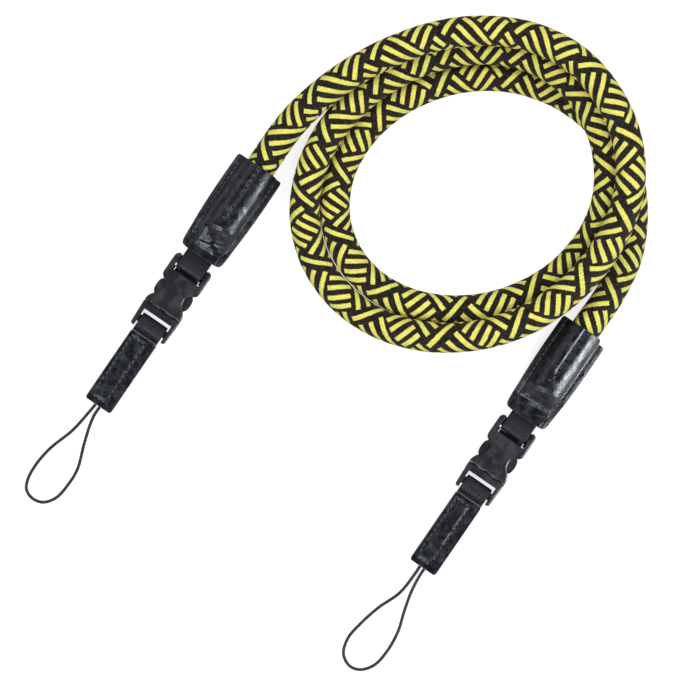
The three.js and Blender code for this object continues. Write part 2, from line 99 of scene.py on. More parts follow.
class Sketch:
    """Draws shader nodes in one tree and hands on the sockets that they put out."""

    def __init__(self, tree: bpy.types.NodeTree) -> None:
        """Starts in an empty tree.

        Args:
            tree: the tree that the nodes go into.
        """
        self.tree = tree
        tree.nodes.clear()

    def node(self, kind: str, **settings: object) -> bpy.types.Node:
        """Adds a node.

        Args:
            kind: the node's type name.
            settings: its properties by name.

        Returns:
            The new node.
        """
        made = self.tree.nodes.new(kind)
        for name, value in settings.items():
            setattr(made, name, value)
        return made

    def feed(self, socket: bpy.types.NodeSocket, value: Feed) -> None:
        """Gives an input a link or a fixed value.

        Args:
            socket: the input.
            value: a socket to link from, or a number, vector or colour.
        """
        if isinstance(value, bpy.types.NodeSocket):
            self.tree.links.new(value, socket)
        else:
            socket.default_value = value

    def math(self, operation: str, *values: Feed) -> bpy.types.NodeSocket:
        """Works out one number from others.

        Args:
            operation: the Math node's operation.
            values: its inputs in order.

        Returns:
            The result's socket.
        """
        made = self.node("ShaderNodeMath", operation=operation)
        for socket, value in zip(made.inputs, values):
            self.feed(socket, value)
        return made.outputs[0]

    def split(self, vector: Feed) -> tuple[bpy.types.NodeSocket, ...]:
        """Takes a vector apart.

        Args:
            vector: the vector's socket.

        Returns:
            Its three parts.
        """
        made = self.node("ShaderNodeSeparateXYZ")
        self.feed(made.inputs[0], vector)
        return tuple(made.outputs)

    def joined(self, x: Feed, y: Feed, z: Feed = 0.0) -> bpy.types.NodeSocket:
        """Puts three numbers together.

        Args:
            x: first part.
            y: second part.
            z: third part.

        Returns:
            The vector's socket.
        """
        made = self.node("ShaderNodeCombineXYZ")
        for socket, value in zip(made.inputs, (x, y, z)):
            self.feed(socket, value)
        return made.outputs[0]

    def scaled(self, vector: Feed, factors: tuple[float, float, float]) -> bpy.types.NodeSocket:
        """Multiplies a vector part by part.

        Args:
            vector: the vector's socket.
            factors: one factor for each part.

        Returns:
            The scaled vector's socket.
        """
        made = self.node("ShaderNodeVectorMath", operation="MULTIPLY")
        self.feed(made.inputs[0], vector)
        made.inputs[1].default_value = factors
        return made.outputs[0]

    def ease(
        self, value: Feed, low: float, high: float, to_low: float = 0.0, to_high: float = 1.0,
    ) -> bpy.types.NodeSocket:
        """Maps a range smoothly onto another.

        Args:
            value: the number to map.
            low: where the range starts.
            high: where it ends.
            to_low: the result at its start.
            to_high: the result at its end.

        Returns:
            The mapped number's socket.
        """
        made = self.node("ShaderNodeMapRange", interpolation_type="SMOOTHSTEP")
        for socket, number in zip(made.inputs, (value, low, high, to_low, to_high)):
            self.feed(socket, number)
        return made.outputs[0]

    def mottle(self, vector: Feed, scale: float, detail: float = 2.0, rough: float = 0.5) -> bpy.types.NodeSocket:
        """Soft noise from 0 to 1.

        Args:
            vector: where it is read.
            scale: how many patches there are in one unit.
            detail: how many finer layers it has.
            rough: how strong the finer layers are.

        Returns:
            The noise's socket.
        """
        made = self.node("ShaderNodeTexNoise")
        self.feed(made.inputs["Vector"], vector)
        made.inputs["Scale"].default_value = scale
        made.inputs["Detail"].default_value = detail
        made.inputs["Roughness"].default_value = rough
        return made.outputs[0]

    def blend(self, factor: Feed, low: Feed, high: Feed, way: str = "MIX") -> bpy.types.NodeSocket:
        """Mixes two colours.

        Args:
            factor: 0 for the first and 1 for the second.
            low: first colour.
            high: second colour.
            way: the Mix node's blend type.

        Returns:
            The mixed colour's socket.
        """
        made = self.node("ShaderNodeMix", data_type="RGBA", blend_type=way)
        for index, value in ((0, factor), (6, low), (7, high)):
            self.feed(made.inputs[index], value)
        return made.outputs[2]

    def between(self, factor: Feed, low: Feed, high: Feed) -> bpy.types.NodeSocket:
        """Mixes two numbers.

        Args:
            factor: 0 for the first and 1 for the second.
            low: first number.
            high: second number.

        Returns:
            The mixed number's socket.
        """
        made = self.node("ShaderNodeMix", data_type="FLOAT")
        for index, value in ((0, factor), (2, low), (3, high)):
            self.feed(made.inputs[index], value)
        return made.outputs[0]

    def relief(self, height: Feed, depth: float, under: bpy.types.NodeSocket | None = None) -> bpy.types.NodeSocket:
        """Turns a height into a bumped normal.

        Args:
            height: height from 0 to 1.
            depth: what a height of 1 stands for, in metres.
            under: a normal that this one goes on top of.

        Returns:
            The normal's socket.
        """
        made = self.node("ShaderNodeBump")
        made.inputs["Distance"].default_value = depth
        self.feed(made.inputs["Height"], height)
        if under is not None:
            self.feed(made.inputs["Normal"], under)
        return made.outputs[0]

    def place(self, group: bpy.types.NodeTree, **values: Feed) -> dict[str, bpy.types.NodeSocket]:
        """Puts a shared effect into this tree.

        Args:
            group: the effect's node group.
            values: its inputs, by their names with spaces as underscores.

        Returns:
            What it puts out, by name.
        """
        made = self.node("ShaderNodeGroup", node_tree=group)
        for name, value in values.items():
            self.feed(made.inputs[name.replace("_", " ")], value)
        return {socket.name: socket for socket in made.outputs}


def shared_effect(
    name: str, inputs: dict[str, str], outputs: Sequence[str],
) -> tuple[Sketch, bpy.types.Node, bpy.types.Node]:
    """Starts a shader node group with named sockets.

    Args:
        name: the group's name.
        inputs: socket type by input name.
        outputs: names of the outputs, all of them numbers.

    Returns:
        A sketch of the group, its input node and its output node.
    """
    tree = bpy.data.node_groups.new(name, "ShaderNodeTree")
    for title, kind in inputs.items():
        tree.interface.new_socket(name=title, in_out="INPUT", socket_type=kind)
    for title in outputs:
        tree.interface.new_socket(name=title, in_out="OUTPUT", socket_type="NodeSocketFloat")
    sketch = Sketch(tree)
    return sketch, sketch.node("NodeGroupInput"), sketch.node("NodeGroupOutput")


def effect_once(name: str, build: Callable[[], bpy.types.NodeTree]) -> bpy.types.NodeTree:
    """Builds a shared effect the first time that it is asked for.

    Args:
        name: the group's name.
        build: what builds it.

    Returns:
        The node group.
    """
    return bpy.data.node_groups.get(name) or build()


def pebble_grain() -> bpy.types.NodeTree:
    """Fine pebbled skin, as on leather and on moulded plastic, with Height and Shade from 0 to 1."""

    def build() -> bpy.types.NodeTree:
        """Draws the group."""
        sketch, inlet, outlet = shared_effect(
            "pebble_grain", {"Vector": "NodeSocketVector", "Scale": "NodeSocketFloat"}, ("Height", "Shade"),
        )
        cells = sketch.node("ShaderNodeTexVoronoi", feature="SMOOTH_F1")
        sketch.feed(cells.inputs["Vector"], inlet.outputs["Vector"])
        sketch.feed(cells.inputs["Scale"], inlet.outputs["Scale"])
        cells.inputs["Smoothness"].default_value = 0.35
        fine = sketch.node("ShaderNodeTexNoise")
        sketch.feed(fine.inputs["Vector"], inlet.outputs["Vector"])
        sketch.feed(fine.inputs["Scale"], sketch.math("MULTIPLY", inlet.outputs["Scale"], 0.31))
        fine.inputs["Detail"].default_value = 3.0
        dome = sketch.math("SUBTRACT", 1.0, cells.outputs["Distance"])
        height = sketch.math("MULTIPLY_ADD", fine.outputs[0], 0.5, sketch.math("MULTIPLY", dome, 0.6))
        sketch.feed(outlet.inputs["Height"], height)
        sketch.feed(outlet.inputs["Shade"], sketch.ease(fine.outputs[0], 0.3, 0.7))
        return sketch.tree

    return effect_once("pebble_grain", build)


def plaited_yarn() -> bpy.types.NodeTree:
    """Yarns that cross over and under each other on the slant, with Height and Shade from 0 to 1."""

    def build() -> bpy.types.NodeTree:
        """Draws the group."""
        sketch, inlet, outlet = shared_effect(
            "plaited_yarn", {"Vector": "NodeSocketVector", "Pitch": "NodeSocketFloat"}, ("Height", "Shade"),
        )
        x, y, _ = sketch.split(inlet.outputs["Vector"])
        pitch = inlet.outputs["Pitch"]
        rising = sketch.math("DIVIDE", sketch.math("ADD", x, y), pitch)
        falling = sketch.math("DIVIDE", sketch.math("SUBTRACT", x, y), pitch)
        rising_cell = sketch.math("FLOOR", rising)
        falling_cell = sketch.math("FLOOR", falling)
        over = sketch.math("MODULO", sketch.math("ABSOLUTE", sketch.math("ADD", rising_cell, falling_cell)), 2.0)
        across_rising = sketch.math("SINE", sketch.math("MULTIPLY", sketch.math("FRACT", rising), math.pi))
        across_falling = sketch.math("SINE", sketch.math("MULTIPLY", sketch.math("FRACT", falling), math.pi))
        ridge = sketch.between(over, across_rising, across_falling)
        dip = sketch.between(over, across_falling, across_rising)
        height = sketch.math("MULTIPLY", ridge, sketch.math("MULTIPLY_ADD", dip, 0.45, 0.55))
        strand = sketch.node("ShaderNodeTexWhiteNoise", noise_dimensions="2D")
        sketch.feed(strand.inputs["Vector"], sketch.joined(rising_cell, falling_cell))
        sketch.feed(outlet.inputs["Height"], height)
        sketch.feed(outlet.inputs["Shade"], strand.outputs[0])
        return sketch.tree

    return effect_once("plaited_yarn", build)


def weave_bar() -> bpy.types.NodeTree:
    """Distance of a point from one bar of the weave, negative inside it, on a repeating chart."""

    def build() -> bpy.types.NodeTree:
        """Draws the group."""
        names = ("Along", "Around", "Middle along", "Middle around", "Run", "Rise", "Half length", "Half width")
        sketch, inlet, outlet = shared_effect("weave_bar", dict.fromkeys(names, "NodeSocketFloat"), ("Distance",))
        pin = inlet.outputs
        half = WeaveChart.REPEAT / 2
        away = sketch.math("WRAP", sketch.math("SUBTRACT", pin["Along"], pin["Middle along"]), half, -half)
        up = sketch.math("SUBTRACT", pin["Around"], pin["Middle around"])
        along = sketch.math("MULTIPLY_ADD", away, pin["Run"], sketch.math("MULTIPLY", up, pin["Rise"]))
        fallen = sketch.math("MULTIPLY", away, pin["Rise"])
        aside = sketch.math("SUBTRACT", sketch.math("MULTIPLY", up, pin["Run"]), fallen)
        past_end = sketch.math("SUBTRACT", sketch.math("ABSOLUTE", along), pin["Half length"])
        past_edge = sketch.math("SUBTRACT", sketch.math("ABSOLUTE", aside), pin["Half width"])
        sketch.feed(outlet.inputs["Distance"], sketch.math("MAXIMUM", past_end, past_edge))
        return sketch.tree

    return effect_once("weave_bar", build)


# ---- the weave ----


@dataclass(frozen=True)
class WeaveBar:
    """One light bar of the weave, from its lower to its upper end, in chart millimetres."""

    start: tuple[float, float]
    end: tuple[float, float]
    width: float = 1.5


@dataclass(frozen=True)
class WeaveChart:
    """The rope's basket pattern: blocks of slanted bars that repeat along and around the rope.

    One row of the chart is half of the way around. Each next row starts half a repeat further on.
    """

    REPEAT = 25.4
    ROW = 14.7
    bars: tuple[WeaveBar, ...] = (
        WeaveBar((0.0, 0.0), (7.5, 8.7)),
        WeaveBar((3.1, -0.5), (11.9, -11.0)),
        WeaveBar((5.2, 2.2), (14.4, -8.2)),
        WeaveBar((7.6, 5.0), (17.0, -5.6)),
        WeaveBar((10.6, 5.2), (15.2, 10.4)),
        WeaveBar((12.7, 2.9), (17.4, 8.7)),
        WeaveBar((14.8, 0.0), (19.8, 6.3)),
        WeaveBar((16.9, -2.8), (22.0, 3.8)),
        WeaveBar((20.4, -2.9), (23.5, -6.3)),
        WeaveBar((22.2, -0.4), (25.3, -4.0)),
    )
    # Where each repeat starts: distance along the rope and offset to the left of its top, in mm.
    starts: tuple[tuple[float, float], ...] = (
        (28.1, -0.4), (54.3, 0.2), (80.1, 0.3), (105.3, 0.0), (130.5, 0.0), (155.8, -1.3), (181.5, -2.5),
        (208.2, -3.7), (235.4, -4.1), (262.6, -4.7), (289.3, -5.3), (316.9, -5.7), (343.6, -4.8),
        (368.4, -3.1), (391.7, -1.4), (415.5, -2.3), (441.7, -3.1), (466.9, -3.8), (492.2, -4.2),
        (517.4, -4.9), (544.6, -6.0), (572.2, -6.3), (600.9, -5.1), (627.6, -4.9), (652.8, -4.5),
        (675.1, -4.2), (698.4, -4.2), (723.2, -4.2), (748.0, -3.8), (772.3, -3.8), (796.4, -3.8),
        (820.4, -3.8), (844.5, -3.8),
    )

    def copies(self) -> Iterable[tuple[float, float, WeaveBar]]:
        """Every bar that shows in the chart's first row.

        Returns:
            Middle along, middle around, and the bar, for each copy.
        """
        for bar in self.bars:
            for row in (-1, 0, 1, 2):
                low = min(bar.start[1], bar.end[1]) + row * self.ROW
                high = max(bar.start[1], bar.end[1]) + row * self.ROW
                if high > -bar.width and low < self.ROW + bar.width:
                    along = (bar.start[0] + bar.end[0]) / 2 + row * self.REPEAT / 2
                    yield along, (low + high) / 2, bar

    def phase(self, distance: np.ndarray) -> tuple[np.ndarray, np.ndarray]:
        """Where the chart stands along the rope.

        Args:
            distance: distances along the rope in millimetres.

        Returns:
            Repeats since the first start, and the offset around, for each distance.
        """
        table = np.array(self.starts)
        count = np.arange(len(table), dtype=float)
        first = (table[0, 0] - self.REPEAT, table[0, 1])
        last = (table[-1, 0] + self.REPEAT, table[-1, 1])
        at = np.concatenate(([first[0]], table[:, 0], [last[0]]))
        repeats = np.interp(distance, at, np.concatenate(([-1.0], count, [count[-1] + 1.0])))
        offsets = np.interp(distance, at, np.concatenate(([first[1]], table[:, 1], [last[1]])))
        return repeats, offsets


# ---- finishes ----


def new_surface(name: str, roughness: float, **sockets: float) -> tuple[bpy.types.Material, Sketch, bpy.types.Node]:
    """Starts a material with one Principled shader.

    Args:
        name: the material's name.
        roughness: its plain roughness.
        sockets: other plain values, by socket name with spaces as underscores.

    Returns:
        The material, a sketch of its tree and the shader node.
    """
    material = bpy.data.materials.new(name)
    material.use_nodes = True
    sketch = Sketch(material.node_tree)
    shader = sketch.node("ShaderNodeBsdfPrincipled")
    shader.inputs["Roughness"].default_value = roughness
    for title, value in sockets.items():
        shader.inputs[title.replace("_", " ")].default_value = value
    outlet = sketch.node("ShaderNodeOutputMaterial")
    sketch.tree.links.new(shader.outputs[0], outlet.inputs["Surface"])
    return material, sketch, shader


def map_reader(sketch: Sketch, name: str) -> bpy.types.NodeSocket:
    """Reads one of a piece's own UV maps.

    Args:
        sketch: the material's sketch.
        name: the map's name.

    Returns:
        The map's vector socket.
    """
    return sketch.node("ShaderNodeUVMap", uv_map=name).outputs[0]


def place_reader(sketch: Sketch) -> bpy.types.NodeSocket:
    """Reads a piece's Object coordinates, in metres."""
    return sketch.node("ShaderNodeTexCoord").outputs["Object"]


@dataclass(frozen=True)
class WovenRopeFinish:
    """Matte knitted cover in two colours, charted by the weave. Lengths are in millimetres."""

    light: Colour = (0.82, 0.79, 0.165, 1.0)
    light_worn: Colour = (0.77, 0.65, 0.12, 1.0)
    dark: Colour = (0.006, 0.0055, 0.006, 1.0)
    dark_dusty: Colour = (0.046, 0.034, 0.026, 1.0)
    yarn_pitch: float = 0.86
    roughness: float = 0.88
    shine: float = 0.15
    sheen: float = 0.04
    bar_wander: float = 0.34
    bar_fray: float = 0.12
    bar_edge: tuple[float, float] = (-0.11, 0.13)
    bar_rise: float = 0.35
    crease_shade: float = 0.60
    relief: float = 0.20
    chart: WeaveChart = field(default_factory=WeaveChart)

    def material(self) -> bpy.types.Material:
        """Builds the material.

        Returns:
            The rope's material.
        """
        material, sketch, shader = new_surface(
            "woven_rope", self.roughness, Specular_IOR_Level=self.shine, Sheen_Weight=self.sheen,
        )
        u, v, _ = sketch.split(map_reader(sketch, "weave"))
        yarn_place = sketch.joined(
            sketch.math("MULTIPLY", u, self.chart.REPEAT), sketch.math("MULTIPLY", v, self.chart.ROW * 1.1),
        )
        yarn = sketch.place(plaited_yarn(), Vector=yarn_place, Pitch=self.yarn_pitch)
        row = sketch.math("FLOOR", v)
        wander = sketch.math("MULTIPLY_ADD", sketch.mottle(yarn_place, 1.7), self.bar_wander, -self.bar_wander / 2)
        along = sketch.math(
            "ADD", sketch.math("MULTIPLY", sketch.math("MULTIPLY_ADD", row, 0.5, u), self.chart.REPEAT), wander,
        )
        around = sketch.math("MULTIPLY", sketch.math("FRACT", v), self.chart.ROW)
        nearest: Feed = 9.0
        for middle_along, middle_around, bar in self.chart.copies():
            run, rise = bar.end[0] - bar.start[0], bar.end[1] - bar.start[1]
            length = math.hypot(run, rise)
            distance = sketch.place(
                weave_bar(), Along=along, Around=around, Middle_along=middle_along, Middle_around=middle_around,
                Run=run / length, Rise=rise / length, Half_length=length / 2, Half_width=bar.width / 2,
            )["Distance"]
            nearest = sketch.math("MINIMUM", distance, nearest)
        centred = sketch.math("SUBTRACT", nearest, self.bar_fray / 2)
        ragged = sketch.math("MULTIPLY_ADD", yarn["Shade"], self.bar_fray, centred)
        lit = sketch.ease(ragged, *self.bar_edge, 1.0, 0.0)
        worn = sketch.ease(sketch.mottle(yarn_place, 0.55, 3.0), 0.48, 0.75)
        light = sketch.blend(sketch.math("MULTIPLY_ADD", yarn["Shade"], 0.35, worn), self.light, self.light_worn)
        dark = sketch.blend(sketch.math("MULTIPLY", yarn["Shade"], yarn["Height"]), self.dark, self.dark_dusty)
        colour = sketch.blend(lit, dark, light)
        crease = sketch.ease(yarn["Height"], 0.0, 0.6, self.crease_shade, 1.0)
        shaded = sketch.blend(1.0, colour, sketch.joined(crease, crease, crease), "MULTIPLY")
        sketch.feed(shader.inputs["Base Color"], shaded)
        height = sketch.math("MULTIPLY_ADD", lit, self.bar_rise, yarn["Height"])
        sketch.feed(shader.inputs["Normal"], sketch.relief(height, self.relief * MM))
        return material


@dataclass(frozen=True)
class LeatherFinish:
    """Black leather with a fine grain, rubbed patches and a soft gloss. Its lighter bluish speckle is partly rubbed
    wear and partly painted glints of the grain. Scales are per metre, depths in mm.
    """

    name: str = "leather"
    deep: Colour = (0.0022, 0.0027, 0.0045, 1.0)
    # Lighter bluish colour, both for rubbed wear and for the painted glints on the grain.
    rubbed: Colour = (0.046, 0.050, 0.066, 1.0)
    roughness: float = 0.38
    shine: float = 0.55
    gloss_spread: float = 0.24
    grain_scale: float = 1250.0
    grain_depth: float = 0.11
    glint_speck_scale: float = 1500.0
    patch_scale: float = 420.0
    crumple_depth: float = 0.20

    def material(self) -> bpy.types.Material:
        """Builds the material.

        Returns:
            The leather's material.
        """
        material, sketch, shader = new_surface(self.name, self.roughness, Specular_IOR_Level=self.shine)
        place = place_reader(sketch)
        grain = sketch.place(pebble_grain(), Vector=place, Scale=self.grain_scale)
        rubbed = sketch.ease(sketch.mottle(place, self.patch_scale, 4.0, 0.6), 0.42, 0.74, 0.1, 0.6)
        # Lighter specks and grain shade in the rubbed patches: partly wear, partly painted glints of the grain.
        painted_glint_specks = sketch.ease(sketch.mottle(place, self.glint_speck_scale, 2.0, 0.7), 0.53, 0.68)
        worn = sketch.math("MULTIPLY", rubbed, sketch.math("ADD", grain["Shade"], painted_glint_specks))
        sketch.feed(shader.inputs["Base Color"], sketch.blend(worn, self.deep, self.rubbed))
        smoothest = self.roughness - self.gloss_spread / 2
        gloss = sketch.math("MULTIPLY_ADD", grain["Shade"], self.gloss_spread, smoothest)
        sketch.feed(shader.inputs["Roughness"], gloss)
        crumple = sketch.relief(sketch.mottle(place, self.patch_scale, 3.0, 0.6), self.crumple_depth * MM)
        sketch.feed(shader.inputs["Normal"], sketch.relief(grain["Height"], self.grain_depth * MM, crumple))
        return material


@dataclass(frozen=True)
class CutEdgeFinish:
    """The fibrous cut edge of a leather layer, greyer than its face. On the tabs it also covers the rounded rims of
    the face, where its pale colour is a painted highlight line.
    """

    name: str = "leather_edge"
    core: Colour = (0.15, 0.152, 0.162, 1.0)
    fibre: Colour = (0.34, 0.343, 0.355, 1.0)
    roughness: float = 0.62
    shine: float = 0.4
    fibre_scale: float = 1500.0
    fibre_depth: float = 0.12

    def material(self) -> bpy.types.Material:
        """Builds the material.

        Returns:
            The edge's material.
        """
        material, sketch, shader = new_surface(self.name, self.roughness, Specular_IOR_Level=self.shine)
        place = place_reader(sketch)
        streaks = sketch.mottle(sketch.scaled(place, (1.0, 1.0, 3.0)), self.fibre_scale, 3.0, 0.65)
        sketch.feed(shader.inputs["Base Color"], sketch.blend(sketch.ease(streaks, 0.35, 0.7), self.core, self.fibre))
        sketch.feed(shader.inputs["Normal"], sketch.relief(streaks, self.fibre_depth * MM))
        return material


@dataclass(frozen=True)
class WebbingFinish:
    """Finely woven black band, with its threads across and along, lighter on the threads' crowns and darker between
    them as painted shade.
    """

    name: str = "webbing"
    # The deep colour between the threads is painted shade; the thread colour is on their crowns.
    deep: Colour = (0.004, 0.0045, 0.007, 1.0)
    thread: Colour = (0.034, 0.036, 0.047, 1.0)
    threads_per_mm: float = 1.6
    roughness: float = 0.46
    shine: float = 0.5
    warp_share: float = 0.8
    wear_scale: float = 2.6
    relief: float = 0.09

    def material(self) -> bpy.types.Material:
        """Builds the material.

        Returns:
            The band's material.
        """
        material, sketch, shader = new_surface(self.name, self.roughness, Specular_IOR_Level=self.shine)
        x, y, _ = sketch.split(map_reader(sketch, "cloth"))
        turn = math.pi * self.threads_per_mm
        weft = sketch.math("ABSOLUTE", sketch.math("SINE", sketch.math("MULTIPLY", x, turn)))
        warp = sketch.math("ABSOLUTE", sketch.math("SINE", sketch.math("MULTIPLY", y, turn * self.warp_share)))
        cross = sketch.math("MULTIPLY", weft, warp)
        uneven = sketch.mottle(map_reader(sketch, "cloth"), self.wear_scale, 4.0, 0.65)
        # Lighter on the threads' crowns and darker between them: painted shade in the weave, varied in uneven random
        # patches.
        colour = sketch.blend(sketch.math("MULTIPLY", cross, sketch.ease(uneven, 0.35, 0.7)), self.deep, self.thread)
        sketch.feed(shader.inputs["Base Color"], colour)
        height = sketch.math("MULTIPLY_ADD", uneven, 0.7, cross)
        sketch.feed(shader.inputs["Normal"], sketch.relief(height, self.relief * MM))
        return material


@dataclass(frozen=True)
class MouldedFinish:
    """Matte moulded black plastic with a spark-worn texture and faint handling marks."""

    name: str = "moulded_plastic"
    base: Colour = (0.0105, 0.0112, 0.0135, 1.0)
    rubbed: Colour = (0.028, 0.029, 0.033, 1.0)
    roughness: float = 0.36
    shine: float = 0.5
    gloss_spread: float = 0.10
    grain_scale: float = 3800.0
    grain_depth: float = 0.018
    mark_scale: float = 260.0

    def material(self) -> bpy.types.Material:
        """Builds the material.

        Returns:
            The buckle's material.
        """
        material, sketch, shader = new_surface(self.name, self.roughness, Specular_IOR_Level=self.shine)
        place = place_reader(sketch)
        grain = sketch.place(pebble_grain(), Vector=place, Scale=self.grain_scale)
        marks = sketch.ease(sketch.mottle(place, self.mark_scale, 4.0, 0.62), 0.42, 0.66)
        sketch.feed(shader.inputs["Base Color"], sketch.blend(marks, self.base, self.rubbed))
        smoothest = self.roughness - self.gloss_spread / 2
        gloss = sketch.math("MULTIPLY_ADD", grain["Shade"], self.gloss_spread, smoothest)
        sketch.feed(shader.inputs["Roughness"], gloss)
        sketch.feed(shader.inputs["Normal"], sketch.relief(grain["Height"], self.grain_depth * MM))
        return material


@dataclass(frozen=True)
class ThreadFinish:
    """Waxed black sewing thread with its twist, and a painted glint along the twist's bands."""

    name: str = "sewing_thread"
    dark: Colour = (0.020, 0.021, 0.025, 1.0)
    painted_twist_glint: Colour = (0.15, 0.155, 0.168, 1.0)
    roughness: float = 0.32
    shine: float = 0.6
    twist_scale: float = 900.0
    twist_depth: float = 0.05

    def material(self) -> bpy.types.Material:
        """Builds the material.

        Returns:
            The thread's material.
        """
        material, sketch, shader = new_surface(self.name, self.roughness, Specular_IOR_Level=self.shine)
        place = place_reader(sketch)
        twist = sketch.node("ShaderNodeTexWave", wave_type="BANDS", bands_direction="DIAGONAL")
        sketch.feed(twist.inputs["Vector"], place)
        twist.inputs["Scale"].default_value = self.twist_scale
        twist.inputs["Distortion"].default_value = 1.5
        # The twist's bands are painted lighter: a painted glint along the thread.
        sketch.feed(shader.inputs["Base Color"], sketch.blend(twist.outputs["Fac"], self.dark, self.painted_twist_glint))
        sketch.feed(shader.inputs["Normal"], sketch.relief(twist.outputs["Fac"], self.twist_depth * MM))
        return material


@dataclass(frozen=True)
class BraidedCordFinish:
    """Thin black braid, slightly shiny on its yarns, with a painted sheen on the yarns' crowns and painted shade in
    the hollows between them.
    """

    name: str = "braided_cord"
    dark: Colour = (0.006, 0.006, 0.007, 1.0)
    # Colour of the yarns' crowns: their black with a painted sheen.
    yarn: Colour = (0.030, 0.030, 0.033, 1.0)
    yarn_pitch: float = 0.62
    roughness: float = 0.5
    shine: float = 0.5
    relief: float = 0.10

    def material(self) -> bpy.types.Material:
        """Builds the material.

        Returns:
            The cord's material.
        """
        material, sketch, shader = new_surface(self.name, self.roughness, Specular_IOR_Level=self.shine)
        braid = sketch.place(plaited_yarn(), Vector=map_reader(sketch, "weave"), Pitch=self.yarn_pitch)
        # Lighter on the yarns' crowns and darker in the hollows: painted sheen and painted shade, with a random tone
        # for each strand.
        painted_sheen_and_strand_tone = sketch.math("MULTIPLY", braid["Height"], sketch.math("MULTIPLY_ADD", braid["Shade"], 0.5, 0.5))
        sketch.feed(shader.inputs["Base Color"], sketch.blend(painted_sheen_and_strand_tone, self.dark, self.yarn))
        sketch.feed(shader.inputs["Normal"], sketch.relief(braid["Height"], self.relief * MM))
        return material


@dataclass(frozen=True)
class Finishes:
    """One material of each kind, built once and shared by all pieces."""

    rope: bpy.types.Material
    leather: bpy.types.Material
    edge: bpy.types.Material
    webbing: bpy.types.Material
    plastic: bpy.types.Material
    thread: bpy.types.Material
    cord: bpy.types.Material

    @staticmethod
    def prepared() -> "Finishes":
        """Builds all the materials of the strap."""
        return Finishes(
            rope=WovenRopeFinish().material(),
            leather=LeatherFinish().material(),
            edge=CutEdgeFinish().material(),
            webbing=WebbingFinish().material(),
            plastic=MouldedFinish().material(),
            thread=ThreadFinish().material(),
            cord=BraidedCordFinish().material(),
        )


# ---- workshop ----


def smooth_step(low: float, high: float, value: float) -> float:
    """Eases from 0 to 1 between two values.

    Args:
        low: where it starts to rise.
        high: where it reaches 1.
        value: where it is read.

    Returns:
        The eased share.
    """
    share = min(1.0, max(0.0, (value - low) / (high - low)))
    return share * share * (3 - 2 * share)


def mixed(first: float, second: float, share: float) -> float:
    """Goes a share of the way from one number to another."""
    return first + (second - first) * share


def hill(value: float, middle: float, width: float) -> float:
    """A smooth hill of height 1 round a middle."""
    return math.exp(-(((value - middle) / width) ** 2))


def corner_cut(across: float, half: float, corner: float) -> float:
    """How far a rounded corner sets a sheet's end back, at a share of its half width."""
    edge = max(0.0, abs(across) * half - half + corner)
    return corner - math.sqrt(max(0.0, corner**2 - edge**2))


def cubic(t: float, start: Measure, leave: Measure, end: Measure, arrive: Measure) -> Measure:
    """Goes smoothly from one value to another, with given slopes at both.

    Args:
        t: share of the way from 0 to 1.
        start: the first value.
        leave: the slope there.
        end: the last value.
        arrive: the slope there.

    Returns:
        The value at that share.
    """
    return (
        (2 * t**3 - 3 * t**2 + 1) * start + (t**3 - 2 * t**2 + t) * leave
        + (3 * t**2 - 2 * t**3) * end + (t**3 - t**2) * arrive
    )


def reaches(line: np.ndarray) -> np.ndarray:
    """Distance along a line at each of its points, one row each."""
    return np.concatenate(([0.0], np.cumsum(np.linalg.norm(np.diff(line, axis=0), axis=1))))


def put_in_scene(name: str, data: bpy.types.ID) -> bpy.types.Object:
    """Makes an object of a mesh, lamp or camera and puts it in the scene."""
    made = bpy.data.objects.new(name, data)
    bpy.context.scene.collection.objects.link(made)
    return made


def finished(
    bench: bmesh.types.BMesh, name: str, nodes: Sequence[str], slot: Slot,
    materials: Sequence[bpy.types.Material], sharp: float = 40.0, frame: Matrix | None = None,
) -> bpy.types.Object:
    """Turns a bench mesh into a piece that rides on the strap.

    Args:
        bench: the mesh, which is used up.
        name: the piece's name.
        nodes: the solids that it stands for.
        slot: the record's slot that its finish comes from; not used.
        materials: its materials in slot order.
        sharp: edges turned by more than this many degrees stay sharp.
        frame: the frame that the mesh was made in, unless it is the model's.

    Returns:
        The new object.
    """
    if frame is not None:
        bmesh.ops.transform(bench, matrix=frame, verts=bench.verts)
    mesh = bpy.data.meshes.new(name)
    bench.to_mesh(mesh)
    bench.free()
    mesh.polygons.foreach_set("use_smooth", [True] * len(mesh.polygons))
    mesh.set_sharp_from_angle(angle=math.radians(sharp))
    for material in materials:
        mesh.materials.append(material)
    piece = put_in_scene(name, mesh)
    if nodes:
        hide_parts(*nodes)
    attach(piece, BODY)
    LOG.info("%s: %d faces", name, len(mesh.polygons))
    return piece


def spread_cloth(
    along: int, across: int, place: Callable[[float, float], Vector], map_name: str,
    map_size: tuple[float, float],
) -> bmesh.types.BMesh:
    """Lays a grid out as a curved sheet, with a flat map of itself.

    Args:
        along: faces along the sheet.
        across: faces across the sheet.
        place: gives the place of a point from its shares along (0 to 1) and across (-1 to 1).
        map_name: the name of its UV map.
        map_size: the sheet's length and width on that map.

    Returns:
        The bench mesh.
    """
    bench = bmesh.new()
    bmesh.ops.create_grid(bench, x_segments=along, y_segments=across, size=0.5)
    flat = bench.loops.layers.uv.new(map_name)
    for face in bench.faces:
        for loop in face.loops:
            loop[flat].uv = ((loop.vert.co.x + 0.5) * map_size[0], (loop.vert.co.y + 0.5) * map_size[1])
    for vert in bench.verts:
        vert.co = place(vert.co.x + 0.5, vert.co.y * 2)
    return bench


def rounded_edges(
    bench: bmesh.types.BMesh, edges: Sequence[bmesh.types.BMEdge], rounding: float,
) -> list[bmesh.types.BMFace]:
    """Rounds edges of a mesh.

    Args:
        bench: the mesh.
        edges: the edges to round.
        rounding: how far they are rounded in metres.

    Returns:
        The new faces.
    """
    return bmesh.ops.bevel(
        bench, geom=edges, offset=rounding, segments=2, profile=0.5, affect="EDGES", clamp_overlap=True, material=-1,
    )["faces"]


